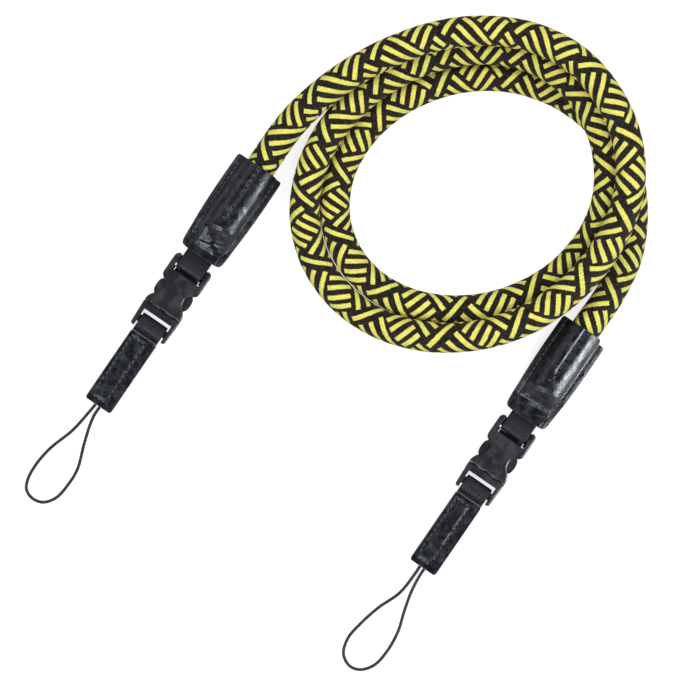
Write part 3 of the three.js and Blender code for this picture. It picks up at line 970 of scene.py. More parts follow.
def thickened(
    bench: bmesh.types.BMesh, thickness: float, rounding: float, edge_slot: int = 0, painted_rim_highlight: bool = False,
) -> bmesh.types.BMesh:
    """Gives a sheet its wall, down from its face, with rounded rims.

    Args:
        bench: the sheet, with its face outwards.
        thickness: the wall's thickness in metres.
        rounding: how far the rims are rounded in metres.
        edge_slot: the material slot of the cut rim.
        painted_rim_highlight: whether the cut's pale colour also goes on the rounded corner of the rim, as a painted
            highlight line along the edge.

    Returns:
        The same bench mesh.
    """
    top = set(bench.faces)
    bmesh.ops.solidify(bench, geom=list(bench.faces), thickness=thickness)
    bench.normal_update()
    rims = {
        face for face in bench.faces
        if face not in top and any(other in top for edge in face.edges for other in edge.link_faces)
    }
    for face in rims:
        face.material_index = edge_slot
    keen = math.radians(40)
    rim_edges = [
        edge for edge in bench.edges
        if edge.calc_face_angle(0.0) > keen and any(face in rims for face in edge.link_faces)
    ]
    rounded = rounded_edges(bench, rim_edges, rounding)
    # The pale edge colour on the rounded corner paints a highlight line along the rim.
    if painted_rim_highlight:
        for face in rounded:
            face.material_index = edge_slot
    return bench


def through_points(points: Sequence[Vector], spacing: float) -> np.ndarray:
    """Runs one smooth curve through points, as the solids' tubes do, at an even spacing.

    Args:
        points: the points in order.
        spacing: the wanted step in metres.

    Returns:
        The curve's points, one row each.
    """
    raw = [2 * points[0] - points[1], *points, 2 * points[-1] - points[-2]]
    fine: list[Vector] = []
    for before, start, end, after in zip(raw, raw[1:], raw[2:], raw[3:]):
        first, middle, last = (
            math.sqrt((b - a).length) for a, b in ((before, start), (start, end), (end, after))
        )
        leave = ((start - before) / first - (end - before) / (first + middle) + (end - start) / middle) * middle
        arrive = ((end - start) / middle - (after - start) / (middle + last) + (after - end) / last) * middle
        fine += [cubic(step / FINE_STEPS, start, leave, end, arrive) for step in range(FINE_STEPS)]
    fine.append(points[-1])
    route = np.array(fine)
    reach = reaches(route)
    steps = max(4, round(reach[-1] / spacing))
    even = np.linspace(0.0, reach[-1], steps + 1)
    return np.stack([np.interp(even, reach, route[:, axis]) for axis in range(3)], axis=1)


def round_tube(
    route: np.ndarray, around: int, radius: Callable[[float, float, Vector], float],
    chart: Callable[[np.ndarray, np.ndarray], tuple[np.ndarray, np.ndarray]],
) -> bmesh.types.BMesh:
    """Wraps a grid round a route, with its seam underneath.

    Args:
        route: the middle line's points, one row each.
        around: faces around the tube.
        radius: gives the radius from the distance along, the angle from the top and the middle point.
        chart: gives the map's two coordinates from distances along and angles from the top.

    Returns:
        The closed bench mesh.
    """
    last = len(route) - 1
    ways = np.gradient(route, axis=0)
    reach = reaches(route)
    frames = []
    for middle, way in zip(route, ways):
        forward = Vector(way).normalized()
        upward = (Vector((0, 0, 1)) - forward * forward.z).normalized()
        frames.append((Vector(middle), upward, upward.cross(forward)))
    bench = bmesh.new()
    bmesh.ops.create_grid(bench, x_segments=last, y_segments=around, size=0.5)
    weave = bench.loops.layers.uv.new("weave")
    rings = np.array([round((vert.co.x + 0.5) * last) for vert in bench.verts])
    angles = np.array([vert.co.y * 2 * math.pi for vert in bench.verts])
    across, upwards = chart(reach[rings], angles)
    bench.verts.index_update()
    for face in bench.faces:
        for loop in face.loops:
            index = loop.vert.index
            loop[weave].uv = (across[index], upwards[index])
    for vert, ring, angle in zip(bench.verts, rings, angles):
        middle, upward, left = frames[ring]
        size = radius(float(reach[ring]), float(angle), middle)
        vert.co = middle + size * (math.cos(angle) * upward + math.sin(angle) * left)
        vert.co.z = max(vert.co.z, 0.0)
    bmesh.ops.remove_doubles(bench, verts=bench.verts, dist=1e-6)
    bmesh.ops.holes_fill(bench, edges=[edge for edge in bench.edges if edge.is_boundary], sides=0)
    bmesh.ops.recalc_face_normals(bench, faces=bench.faces)
    return bench


# ---- rope ----


@dataclass(frozen=True)
class Course:
    """One row of the rope's way round the coil."""

    hour: float
    lane: float
    level: float


@dataclass(frozen=True)
class CoiledRope:
    """The soft woven rope: its coil, and the stretch that is sewn into each sleeve.

    Lengths are in millimetres and angles in degrees. Clock hours go round the coil from its far side.
    """

    diameter: float = 10.45
    pitch: float = 10.4
    solid_radius: float = 5.05
    lift: float = 0.12
    hole_long: float = 86.1
    hole_short: float = 69.3
    hole_tilt: float = 18.0
    centre: tuple[float, float] = (36.168, 35.873)
    heading: float = -124.4
    tuck: float = 24.0
    mouth_height: float = 6.55
    points_per_turn: int = 24
    spacing: float = 1.5
    faces_around: int = 40
    softness: float = 0.09
    dent: float = 0.75
    dent_width: float = 0.24
    chart: WeaveChart = field(default_factory=WeaveChart)
    course: tuple[Course, ...] = (
        Course(-2.77, 2.59, 0.64), Course(-2.45, 2.23, 0.84), Course(-2.2, 2.06, 1.09),
        Course(-1.8, 1.78, 1.55), Course(-1, 1.5, 1.98), Course(0.5, 1.42, 2.08), Course(1.2, 1.27, 2.22),
        Course(2, 0.89, 2.36), Course(3, 0.66, 2.1), Course(4, 0.59, 1.47),
        Course(5.5, 0.8, 1.17), Course(6.4, 0.92, 1.0), Course(7.2, 1.01, 0.56),
        Course(8.4, 1.0, 0.55), Course(9.2, 0.93, 0.95), Course(10, 0.86, 1.06),
        Course(11, 0.82, 1.16), Course(12.2, 0.84, 1.24), Course(13, 0.7, 1.36),
        Course(14, 0.2, 1.6), Course(14.6, 0.02, 1.46), Course(15.3, 0, 1.0),
        Course(16, 0, 0.5), Course(25, 0, 0.5), Course(26, 0.22, 0.5), Course(27, 0.8, 0.5),
        Course(27.9, 1.48, 0.53), Course(28.3, 1.7, 0.57), Course(28.67, 2.0, 0.64),
    )

    def course_at(self, hour: float, column: str) -> float:
        """Reads one column of the course at any hour.

        Args:
            hour: clock hour along the coil.
            column: "lane" or "level".

        Returns:
            The value on a smooth curve through the rows.
        """
        rows = self.course
        row = next((index for index, entry in enumerate(rows) if entry.hour > hour), len(rows) - 1) - 1

        def slope(index: int) -> float:
            """Slope of the column at a row."""
            before, after = rows[max(index - 1, 0)], rows[min(index + 1, len(rows) - 1)]
            return (getattr(after, column) - getattr(before, column)) / (after.hour - before.hour)

        start, end = rows[row], rows[row + 1]
        width = end.hour - start.hour
        t = (hour - start.hour) / width
        first, last = getattr(start, column), getattr(end, column)
        return cubic(t, first, width * slope(row), last, width * slope(row + 1))

    def coil_point(self, hour: float) -> Vector:
        """The rope's middle at an hour of the coil.

        Args:
            hour: clock hour along the coil.

        Returns:
            The point in metres.
        """
        angle = math.radians(30 * hour)
        long, short = self.hole_long / 2 + self.solid_radius, self.hole_short / 2 + self.solid_radius
        turn = angle - math.radians(90 - self.hole_tilt)
        lap = long * short / math.hypot(short * math.cos(turn), long * math.sin(turn))
        reach = lap + self.course_at(hour, "lane") * self.pitch
        height = self.course_at(hour, "level") * self.pitch - (self.pitch / 2 - self.solid_radius)
        return MM * Vector((
            self.centre[0] + reach * math.sin(angle), self.centre[1] + reach * math.cos(angle),
            max(height, self.solid_radius + self.lift),
        ))

    def mouth(self, side: Side) -> Vector:
        """Where the rope enters a sleeve, on the table."""
        point = self.coil_point(self.course[0 if side is Side.LEFT else -1].hour)
        return Vector((point.x, point.y, 0.0))

    def end_frame(self, side: Side) -> Matrix:
        """The frame of a strap end: x along it from the sleeve's mouth, y across, z up."""
        return Matrix.Translation(self.mouth(side)) @ Matrix.Rotation(math.radians(self.heading), 4, "Z")

    def route(self) -> np.ndarray:
        """The rope's middle line from the left sleeve to the right one."""
        def tucked(side: Side) -> list[Vector]:
            """Points of the straight stretch inside a sleeve."""
            frame = self.end_frame(side)
            return [
                frame @ (MM * Vector((along, 0, self.mouth_height))) for along in (self.tuck, self.tuck / 2, 0)
            ]

        first, last = self.course[0].hour, self.course[-1].hour
        count = round((last - first) / 12 * self.points_per_turn)
        coil = [self.coil_point(first + (last - first) * index / count) for index in range(1, count)]
        return through_points([*tucked(Side.LEFT), *coil, *reversed(tucked(Side.RIGHT))], self.spacing * MM)

    def build(self, finishes: Finishes) -> bpy.types.Object:
        """Args:
            finishes: the strap's materials.

        Returns:
            The rope's piece.
        """
        route = self.route()
        length = float(reaches(route)[-1])
        plain = self.diameter / 2 * MM

        def radius(along: float, angle: float, middle: Vector) -> float:
            """A soft rope's radius, dented where the leather is stitched down on it."""
            inside = min(along, length - along)
            dent = self.dent * MM * (1 - smooth_step(self.tuck * MM * 0.8, self.tuck * MM * 1.2, inside))
            spot = middle * 120 + Vector((math.cos(angle), math.sin(angle), 0))
            return plain + self.softness * MM * noise.noise(spot) - dent * hill(angle, 0, self.dent_width)

        def chart(along: np.ndarray, angles: np.ndarray) -> tuple[np.ndarray, np.ndarray]:
            """Repeats along the rope, and chart rows around it."""
            repeats, offsets = self.chart.phase(along / MM)
            row = math.pi * self.diameter / 2
            stretch = row / self.chart.ROW
            return repeats, angles / math.pi - offsets * stretch / row

        bench = round_tube(route, self.faces_around, radius, chart)
        piece = finished(bench, "woven_rope", ["rope"], Slot.ROPE, [finishes.rope])
        tuple(route[0])
        [tuple(point) for point in route]
        return piece


# ---- strap ends ----


@dataclass(frozen=True)
class Stitch:
    """One visible stitch: its middle, its direction and the way it faces."""

    middle: Vector
    way: Vector
    face: Vector


def stitched(stitches: Iterable[Stitch], length: float, gauge: float) -> bmesh.types.BMesh:
    """Makes small waxed stitches.

    Args:
        stitches: where they are.
        length: length of a stitch in metres.
        gauge: the thread's thickness in metres.

    Returns:
        The bench mesh of them all.
    """
    bench = bmesh.new()
    for stitch in stitches:
        forward = stitch.way.normalized()
        side = stitch.face.cross(forward).normalized()
        up = forward.cross(side)
        turn = Matrix((forward, side, up)).transposed().to_4x4()
        shape = Matrix.Translation(stitch.middle) @ turn @ Matrix.Diagonal((length / 2, gauge / 2, gauge / 2, 1.0))
        bmesh.ops.create_uvsphere(bench, u_segments=8, v_segments=6, radius=1.0, matrix=shape)
    return bench


@dataclass(frozen=True)
class Ripple:
    """Unevenness of a sheet: its height in millimetres, and how close its waves lie each way."""

    height: float
    along: float
    across: float
    skew: float = 0.0
    seed: float = 0.0

    def at(self, x: float, y: float, seed: float = 0.0) -> float:
        """Its height at a place in millimetres."""
        return self.height * noise.noise(Vector((x * self.along + self.skew * y, y * self.across, seed + self.seed)))


@dataclass(frozen=True)
class Groove:
    """The sunk middle seam of a sleeve in millimetres, with the leather raised on both sides of it."""

    middle: float
    depth: float
    width: float
    raised: float = 0.2
    raised_at: float = 2.3
    raised_width: float = 1.3

    def at(self, y: float) -> float:
        """What it adds to the height, at a place across the sleeve."""
        beside = hill(abs(y - self.middle), self.raised_at, self.raised_width)
        return self.depth * (self.raised * beside - hill(y, self.middle, self.width))


@dataclass(frozen=True)
class Facet:
    """The flat slanted face that the left sleeve folds into, beyond a slanted line, in millimetres."""

    start: tuple[float, float] = (27.3, -3.5)
    way: tuple[float, float] = (0.77, -0.64)
    foot: float = 34.8
    slope: float = 0.577
    onset: tuple[float, float] = (-0.2, 0.7)
    sides: tuple[float, float] = (3.9, 5.6)

    def share(self, x: float, y: float) -> float:
        """How much of the facet there is at a place, from 0 to 1."""
        beyond = self.way[0] * (x - self.start[0]) + self.way[1] * (y - self.start[1])
        return smooth_step(*self.onset, beyond) * (1 - smooth_step(*self.sides, abs(y)))

    def rise(self, x: float) -> float:
        """Its height over the flat sewn end."""
        return self.slope * (self.foot - x)


@dataclass(frozen=True)
class LeatherSleeve:
    """Two leather panels sewn together round the rope's end and the band's tails, in millimetres."""

    length: float = 37.0
    corner: float = 2.0
    margin: float = 2.1
    drape: float = 1.22
    swell: float = 0.5
    leather: float = 1.2
    turn: float = 0.6
    rope_room: float = 5.35
    band_room: float = 1.4
    band_half: float = 5.3
    clear: float = 0.3
    tuck: float = 24.0
    taper: float = 4.5
    tail: float = 5.0
    mouth_height: float = 6.55
    hardware_height: float = 2.65
    setbacks: dict[Side, float] = field(default_factory=lambda: {Side.LEFT: 0.3, Side.RIGHT: 1.6})
    mouth_corner: float = 0.9
    half_mouth: float = 8.6
    droop: float = 0.7
    rounding: float = 0.22
    blend_sharpness: float = 5.0
    seam_offset: float = 0.55
    seam_depth: float = 0.12
    seam_width: float = 0.35
    groove_end: tuple[float, float] = (16.5, 21.0)
    crumple_start: tuple[float, float] = (19.0, 27.0)
    crumple_end: tuple[float, float] = (33.5, 36.0)
    folds: Ripple = Ripple(0.36, 0.85, 0.16, skew=0.22)
    wrinkles: Ripple = Ripple(0.12, 1.9, 0.9, seed=9.0)
    waves: Ripple = Ripple(0.12, 0.16, 0.22, seed=5.0)
    facet: Facet = Facet()
    end_crease: float = 34.1
    end_crease_depth: float = 0.25
    end_crease_width: float = 0.55
    end_crease_sides: tuple[float, float] = (4.5, 5.8)
    stitch_pitch: float = 2.0
    stitch_length: float = 1.4
    stitch_gauge: float = 0.38
    stitch_lift: float = 0.04
    middle_stitches: int = 10
    margin_stitches: int = 15
    grooves: dict[Side, Groove] = field(default_factory=lambda: {
        Side.LEFT: Groove(0.1, 0.55, 0.65), Side.RIGHT: Groove(0.45, 1.0, 0.8),
    })
    seeds: dict[Side, float] = field(default_factory=lambda: {Side.LEFT: 11.0, Side.RIGHT: 3.0})

    def foot(self, x: float) -> float:
        """Half width of the hollow at the seam, at a distance from the mouth."""
        share = x / self.length
        bow = self.swell * math.sin(math.pi * share)
        return mixed(self.rope_room * self.drape, self.band_half + self.clear, share) + bow

    def closing(self, x: float) -> float:
        """How far the sleeve has closed from the rope down to the band, from 0 to 1."""
        return smooth_step(self.tuck + self.clear, self.length - self.tail, x)

    def middle(self, x: float) -> float:
        """Height of the seam over the table."""
        return mixed(self.mouth_height, self.hardware_height, self.closing(x))

    def bulge(self, x: float, y: float) -> float:
        """Height of the leather's outside over the seam.

        Args:
            x: distance from the mouth in millimetres.
            y: distance from the sleeve's middle line in millimetres.

        Returns:
            The height in millimetres.
        """
        band_start = self.length - self.tail
        flatness = smooth_step(band_start - self.taper, band_start, x)
        turned = self.leather * self.turn
        half = mixed(self.rope_room + self.leather, self.band_half + turned, flatness)
        foot = max((self.foot(x) + turned) / half, 1.01)
        share, touch = abs(y) / half, 1 / foot
        if share < touch:
            round_top = math.sqrt(1 - share * share)
        else:
            round_top = math.sqrt(1 - touch * touch) * (foot - share) / (foot - touch)
        flat_top = min(1.0, (foot - share) / (foot - 1))
        top = max(0.0, mixed(round_top, flat_top, flatness))
        rise = mixed(self.rope_room, self.band_room, self.closing(x)) + self.leather
        low = self.clear / 2 + self.leather
        height, keen = rise * top, self.blend_sharpness
        return math.log(math.exp(keen * (height - low)) + 1) / keen + low if height < low + 4 else height

    def surface(self, x: float, y: float, upper: bool, side: Side) -> Vector:
        """A point of the panel's outside.

        Args:
            x: distance from the mouth in millimetres.
            y: distance from the middle line in millimetres.
            upper: whether the upper panel is meant.
            side: the strap's end.

        Returns:
            The point in the end's frame, in metres.
        """
        height = self.bulge(x, y)
        past = abs(y) - self.foot(x)
        if upper:
            height += self.press(x, y, side)
            height -= self.seam_depth * hill(past, self.seam_offset, self.seam_width)
        else:
            height = min(height, self.middle(x))
        level = self.middle(x) - self.droop * smooth_step(0.3, self.margin + 0.6, past)
        return MM * Vector((x, y, level + (height if upper else -height)))

    def press(self, x: float, y: float, side: Side) -> float:
        """What the middle seam and the folds add to the upper panel's height.

        Args:
            x: distance from the mouth in millimetres.
            y: distance from the middle line in millimetres.
            side: the strap's end.

        Returns:
            The height in millimetres, mostly negative.
        """
        seed = self.seeds[side]
        added = self.grooves[side].at(y) * (1 - smooth_step(*self.groove_end, x))
        crowded = smooth_step(*self.crumple_start, x) * (1 - smooth_step(*self.crumple_end, x))
        added += crowded * (self.folds.at(x, y, seed) + self.wrinkles.at(x, y, seed)) + self.waves.at(x, y, seed)
        if side is Side.LEFT:
            level = self.hardware_height + self.band_room + self.leather + self.facet.rise(x)
            added += max(0.0, level - self.middle(x) - self.bulge(x, y)) * self.facet.share(x, y)
        crease = self.end_crease_depth * hill(x, self.end_crease, self.end_crease_width)
        added -= crease * (1 - smooth_step(*self.end_crease_sides, abs(y)))
        return added

    def panel(self, upper: bool, side: Side) -> bmesh.types.BMesh:
        """Builds one panel in the end's frame.

        Args:
            upper: whether it is the upper panel.
            side: the strap's end.

        Returns:
            The bench mesh with a wall of leather.
        """
        half_end = self.foot(self.length) + self.margin

        def place(along: float, across: float) -> Vector:
            """Puts a point of the flat panel on the draped one."""
            cut = corner_cut(across, half_end, self.corner)
            start = smooth_step(0.72, 0.79, across) * self.setbacks[side]
            start += corner_cut(across, self.half_mouth, self.mouth_corner)
            x = start + along * (self.length - cut - start)
            return self.surface(x, across * (self.foot(x) + self.margin), upper, side)

        bench = spread_cloth(100, 72, place, "cloth", (self.length, 2 * half_end))
        if not upper:
            bmesh.ops.reverse_faces(bench, faces=bench.faces)
        return thickened(bench, self.leather * MM, self.rounding * MM, edge_slot=1)

    def seam_stitches(self, side: Side) -> list[Stitch]:
        """The visible stitches of the upper panel.

        Args:
            side: the strap's end.

        Returns:
            The stitches in the end's frame.
        """
        rows: list[Stitch] = []

        def stitch(x: float, y: float, way: tuple[float, float]) -> None:
            """Lays one stitch on the leather."""
            here = self.surface(x, y, True, side)
            ahead = self.surface(x + 0.3 * way[0], y + 0.3 * way[1], True, side) - here
            aside = self.surface(x - 0.3 * way[1], y + 0.3 * way[0], True, side) - here
            face = ahead.cross(aside)
            rows.append(Stitch(here + face.normalized() * self.stitch_lift * MM, ahead, face))

        seam = self.grooves[side].middle
        for step in range(self.middle_stitches):
            stitch((step + 0.8) * self.stitch_pitch, seam, (1, 0))
        stitch(self.groove_end[1] + 0.3, seam - 0.7, (-0.3, 1))
        for step in range(self.margin_stitches):
            x = (step + 1.6) * self.stitch_pitch
            for way in (-1, 1):
                stitch(x, way * (self.foot(x) + self.seam_offset), (1, 0))
        return rows

    def build(self, frame: Matrix, side: Side, finishes: Finishes) -> None:
        """Builds both panels and their stitches.

        Args:
            frame: the strap end's frame.
            side: the strap's end.
            finishes: the strap's materials.
        """
        for upper, word in ((True, "upper"), (False, "lower")):
            finished(
                self.panel(upper, side), f"leather_sleeve_{word}_{side.value}", [f"sleeve_{word}_{side.value}"],
                Slot.LEATHER, [finishes.leather, finishes.edge], sharp=60, frame=frame,
            )
        bench = stitched(self.seam_stitches(side), self.stitch_length * MM, self.stitch_gauge * MM)
        finished(bench, f"sleeve_stitches_{side.value}", [], Slot.LEATHER, [finishes.thread], frame=frame)


@dataclass(frozen=True)
class FoldedBand:
    """A woven band folded round a buckle's bar, with both tails sewn in, in millimetres."""

    width: float = 10.0
    thickness: float = 0.9
    gap: float = 0.4
    bar_half: float = 1.0
    clear: float = 0.3
    height: float = 2.65
    spread_start: float = 1.2
    spread_end: float = 0.8
    rounding: float = 0.24

    def profile(self, bar_length: float, tail: float) -> list[tuple[float, float]]:
        """The band's middle line, from one tail's end round the fold to the other's.

        Args:
            bar_length: length of the bar along the strap.
            tail: distance of the tails' ends from the fold side of the bar.

        Returns:
            Points along and up, in millimetres.
        """
        close_by = (self.gap + self.thickness) / 2
        round_bar = self.bar_half + self.clear + self.thickness / 2
        neck = bar_length + self.clear
        far, near = neck + round_bar + self.spread_start, neck - self.spread_end
        over = [(tail, close_by), (far, close_by)]
        for share in (step / 10 for step in range(1, 10)):
            over.append((mixed(far, near, share), mixed(close_by, round_bar, smooth_step(0, 1, share))))
        over.append((near, round_bar))
        bend = [
            (self.bar_half - round_bar * math.sin(turn), round_bar * math.cos(turn))
            for turn in np.linspace(0, math.pi, 15)
        ]
        under = [(x, -z) for x, z in reversed(over)]
        return [*over, *bend, *under]

    def band(self, bar_length: float, tail: float) -> bmesh.types.BMesh:
        """Builds a band whose bar's fold side is at the origin and whose tails run along +x.

        Args:
            bar_length: length of the bar along the strap in millimetres.
            tail: distance of the tails' ends from the origin in millimetres.

        Returns:
            The bench mesh.
        """
        line = np.array(self.profile(bar_length, tail))
        reach = reaches(line)
        line_way = np.gradient(line, reach, axis=0)
        total = float(reach[-1])

        def place(along: float, across: float) -> Vector:
            """Puts a point of the flat band on the folded one's outside."""
            at = along * total
            x, z = (float(np.interp(at, reach, line[:, axis])) for axis in (0, 1))
            run, rise = (float(np.interp(at, reach, line_way[:, axis])) for axis in (0, 1))
            size = math.hypot(run, rise)
            out = Vector((rise, 0, -run)) / size
            cup = 0.07 * abs(across) ** 4
            point = Vector((x, across * self.width / 2, z)) + out * (self.thickness / 2 - cup)
            return MM * point

        bench = spread_cloth(110, 16, place, "cloth", (total, self.width))
        bmesh.ops.recalc_face_normals(bench, faces=bench.faces)
        if max(bench.faces, key=lambda face: face.calc_center_median().z).normal.z < 0:
            bmesh.ops.reverse_faces(bench, faces=bench.faces)
        return thickened(bench, self.thickness * MM, self.rounding * MM)


def softened_copy(node: str, rounding: float) -> bmesh.types.BMesh:
    """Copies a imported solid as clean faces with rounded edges.

    Args:
        node: the solid's name.
        rounding: how far its edges are rounded in metres.

    Returns:
        The bench mesh.
    """
    bench = bmesh.new()
    bench.from_mesh(bpy.data.objects[node].data)
    for layer in list(bench.loops.layers.uv.values()):
        bench.loops.layers.uv.remove(layer)
    bmesh.ops.remove_doubles(bench, verts=bench.verts, dist=2e-6)
    bmesh.ops.dissolve_limit(
        bench, angle_limit=math.radians(2), verts=bench.verts, edges=bench.edges, use_dissolve_boundaries=False,
    )
    keen = math.radians(26)
    sharp = [edge for edge in bench.edges if len(edge.link_faces) == 2 and edge.calc_face_angle(0) > keen]
    rounded_edges(bench, sharp, rounding)
    return bench


@dataclass(frozen=True)
class Ledge:
    """A small moulded block inside a buckle half, by two corners in millimetres."""

    low: tuple[float, float, float]
    high: tuple[float, float, float]

    def place(self, frame: Matrix) -> Matrix:
        """Where a unit cube has to go to be this ledge, in a strap end's frame."""
        low, high = Vector(self.low), Vector(self.high)
        return frame @ Matrix.Translation(MM * (low + high) / 2) @ Matrix.Diagonal((*(MM * (high - low)), 1.0))


@dataclass(frozen=True)
class SideReleaseBuckle:
    """The small two-part buckle, fastened. Lengths are in millimetres."""

    rounding: float = 0.34
    half_width: float = 7.4
    middle: float = 2.65
    crown: float = 0.2
    crown_lines: tuple[float, ...] = (-6.0, -4.5, -3.0, -1.5, 0.0, 1.5, 3.0, 4.5, 6.0)
    ledges: dict[str, tuple[Ledge, ...]] = field(default_factory=lambda: {
        "plug": (Ledge((59.86, -7.1, 1.0), (60.4, 7.1, 4.1)),),
        "socket": (Ledge((44.3, -5.9, 0.5), (46.3, -4.95, 1.25)), Ledge((43.3, 4.95, 0.5), (45.7, 5.9, 1.25))),
    })

    def crowned(self, bench: bmesh.types.BMesh, frame: Matrix) -> None:
        """Makes a half's flat faces gently rounded across the strap.

        Args:
            bench: the half's mesh.
            frame: the strap end's frame.
        """
        aside = (frame.to_3x3() @ Vector((0, 1, 0))).normalized()
        for across in self.crown_lines:
            bmesh.ops.bisect_plane(
                bench, geom=[*bench.verts, *bench.edges, *bench.faces], dist=1e-7,
                plane_co=frame @ (MM * Vector((0, across, 0))), plane_no=aside,
            )
        back = frame.inverted()
        for vert in bench.verts:
            at = back @ vert.co
            thin = 1 - self.crown * (at.y / (self.half_width * MM)) ** 2
            at.z = self.middle * MM + (at.z - self.middle * MM) * thin
            vert.co = frame @ at

    def build(self, frame: Matrix, side: Side, finishes: Finishes) -> None:
        """Builds both halves.

        Args:
            frame: the strap end's frame.
            side: the strap's end.
            finishes: the strap's materials.
        """
        for half in ("socket", "plug"):
            node = f"buckle_{half}_{side.value}"
            bench = softened_copy(node, self.rounding * MM)
            self.crowned(bench, frame)
            for ledge in self.ledges[half]:
                bmesh.ops.create_cube(bench, size=1.0, matrix=ledge.place(frame))
            finished(bench, f"moulded_{half}_{side.value}", [node], Slot.BUCKLE, [finishes.plastic], sharp=35)


@dataclass(frozen=True)
class StitchedTab:
    """Two leather layers sewn round the band's tails and the cord's ends, in millimetres."""

    start: float = 70.8
    end: float = 99.5
    width: float = 10.5
    leather: float = 1.25
    clear: float = 0.3
    tail: float = 17.5
    hardware_height: float = 2.65
    band_room: float = 1.4
    cord_tuck: float = 4.0
    cord_gauge: float = 1.1
    corner: float = 0.9
    rounding: float = 0.38
    stitch_pitch: float = 2.05
    stitch_length: float = 1.5
    stitch_gauge: float = 0.4
    stitch_lift: float = 0.05
    seam_rows: tuple[float, float] = (-3.8, 1.6)
    seam_inset: float = 2.2
    seam_depth: float = 0.36
    seam_width: float = 0.45
    crown: float = 0.16
    edge_drop: float = 0.18
    lumps: Ripple = Ripple(0.10, 0.25, 0.3, seed=2.0)

    def underside(self, x: float) -> float:
        """Height of the front layer's underside at a distance along the end, in millimetres."""
        over_band = self.hardware_height + self.band_room
        over_cord = self.leather + 2 * self.clear + self.cord_gauge
        down = smooth_step(self.start + self.tail, self.end - self.cord_tuck, x)
        return mixed(over_band, over_cord, down)

    def top(self, x: float, y: float) -> Vector:
        """A point of the front layer's face, in the end's frame and in metres."""
        low, high = self.seam_rows
        beside = abs(y - (low + high) / 2) - (high - low) / 2
        beyond = abs(x - (self.start + self.end) / 2) - (self.end - self.start) / 2 + self.seam_inset
        to_row = max(beside, beyond)
        crown = self.crown * (1 - smooth_step(-1.6, 0.0, to_row))
        crown -= self.edge_drop * smooth_step(3.2, self.width / 2, abs(y))
        seam = -self.seam_depth * hill(to_row, 0, self.seam_width)
        return MM * Vector((x, y, self.underside(x) + self.leather + crown + seam + self.lumps.at(x, y)))

    def layer(self, front: bool) -> bmesh.types.BMesh:
        """Builds one layer in the end's frame.

        Args:
            front: whether it is the upper layer.

        Returns:
            The bench mesh.
        """
        half = self.width / 2
        middle, reach = (self.start + self.end) / 2, (self.end - self.start) / 2

        def place(along: float, across: float) -> Vector:
            """Puts a point of the flat layer in its place, with rounded corners."""
            x = middle + (2 * along - 1) * (reach - corner_cut(across, half, self.corner))
            y = across * half
            return self.top(x, y) if front else MM * Vector((x, y, self.leather))

        bench = spread_cloth(84, 40, place, "cloth", (2 * reach, self.width))
        # The front layer's rounded rims take the pale edge colour: a painted highlight line round the tab.
        return thickened(bench, self.leather * MM, self.rounding * MM, edge_slot=1, painted_rim_highlight=front)

    def stitches(self) -> list[Stitch]:
        """The stitched rectangle on the front layer.

        Returns:
            The stitches in the end's frame.
        """
        inset = self.seam_inset
        rows: list[Stitch] = []

        def stitch(x: float, y: float, way: tuple[float, float]) -> None:
            """Lays one stitch on the leather."""
            here = self.top(x, y)
            ahead = self.top(x + 0.3 * way[0], y + 0.3 * way[1]) - here
            rows.append(Stitch(here + Vector((0, 0, self.stitch_lift * MM)), ahead, Vector((0, 0, 1))))

        count = int((self.end - self.start - 2 * inset) / self.stitch_pitch)
        for step in range(count):
            x = self.start + inset + (step + 0.5) * self.stitch_pitch
            for row in self.seam_rows:
                stitch(x, row, (1, 0))
        middle = sum(self.seam_rows) / 2
        for x in (self.start + inset, self.end - inset):
            for step in (-1, 0, 1):
                stitch(x, middle + step * 0.85 * self.stitch_pitch, (0, 1))
        return rows

    def build(self, frame: Matrix, side: Side, finishes: Finishes) -> None:
        """Builds both layers and their stitches.

        Args:
            frame: the strap end's frame.
            side: the strap's end.
            finishes: the strap's materials.
        """
        for front, word in ((True, "front"), (False, "back")):
            finished(
                self.layer(front), f"leather_tab_{word}_{side.value}", [f"tab_{word}_{side.value}"],
                Slot.LEATHER, [finishes.leather, finishes.edge], sharp=50, frame=frame,
            )
        bench = stitched(self.stitches(), self.stitch_length * MM, self.stitch_gauge * MM)
        finished(bench, f"tab_stitches_{side.value}", [], Slot.LEATHER, [finishes.thread], frame=frame)


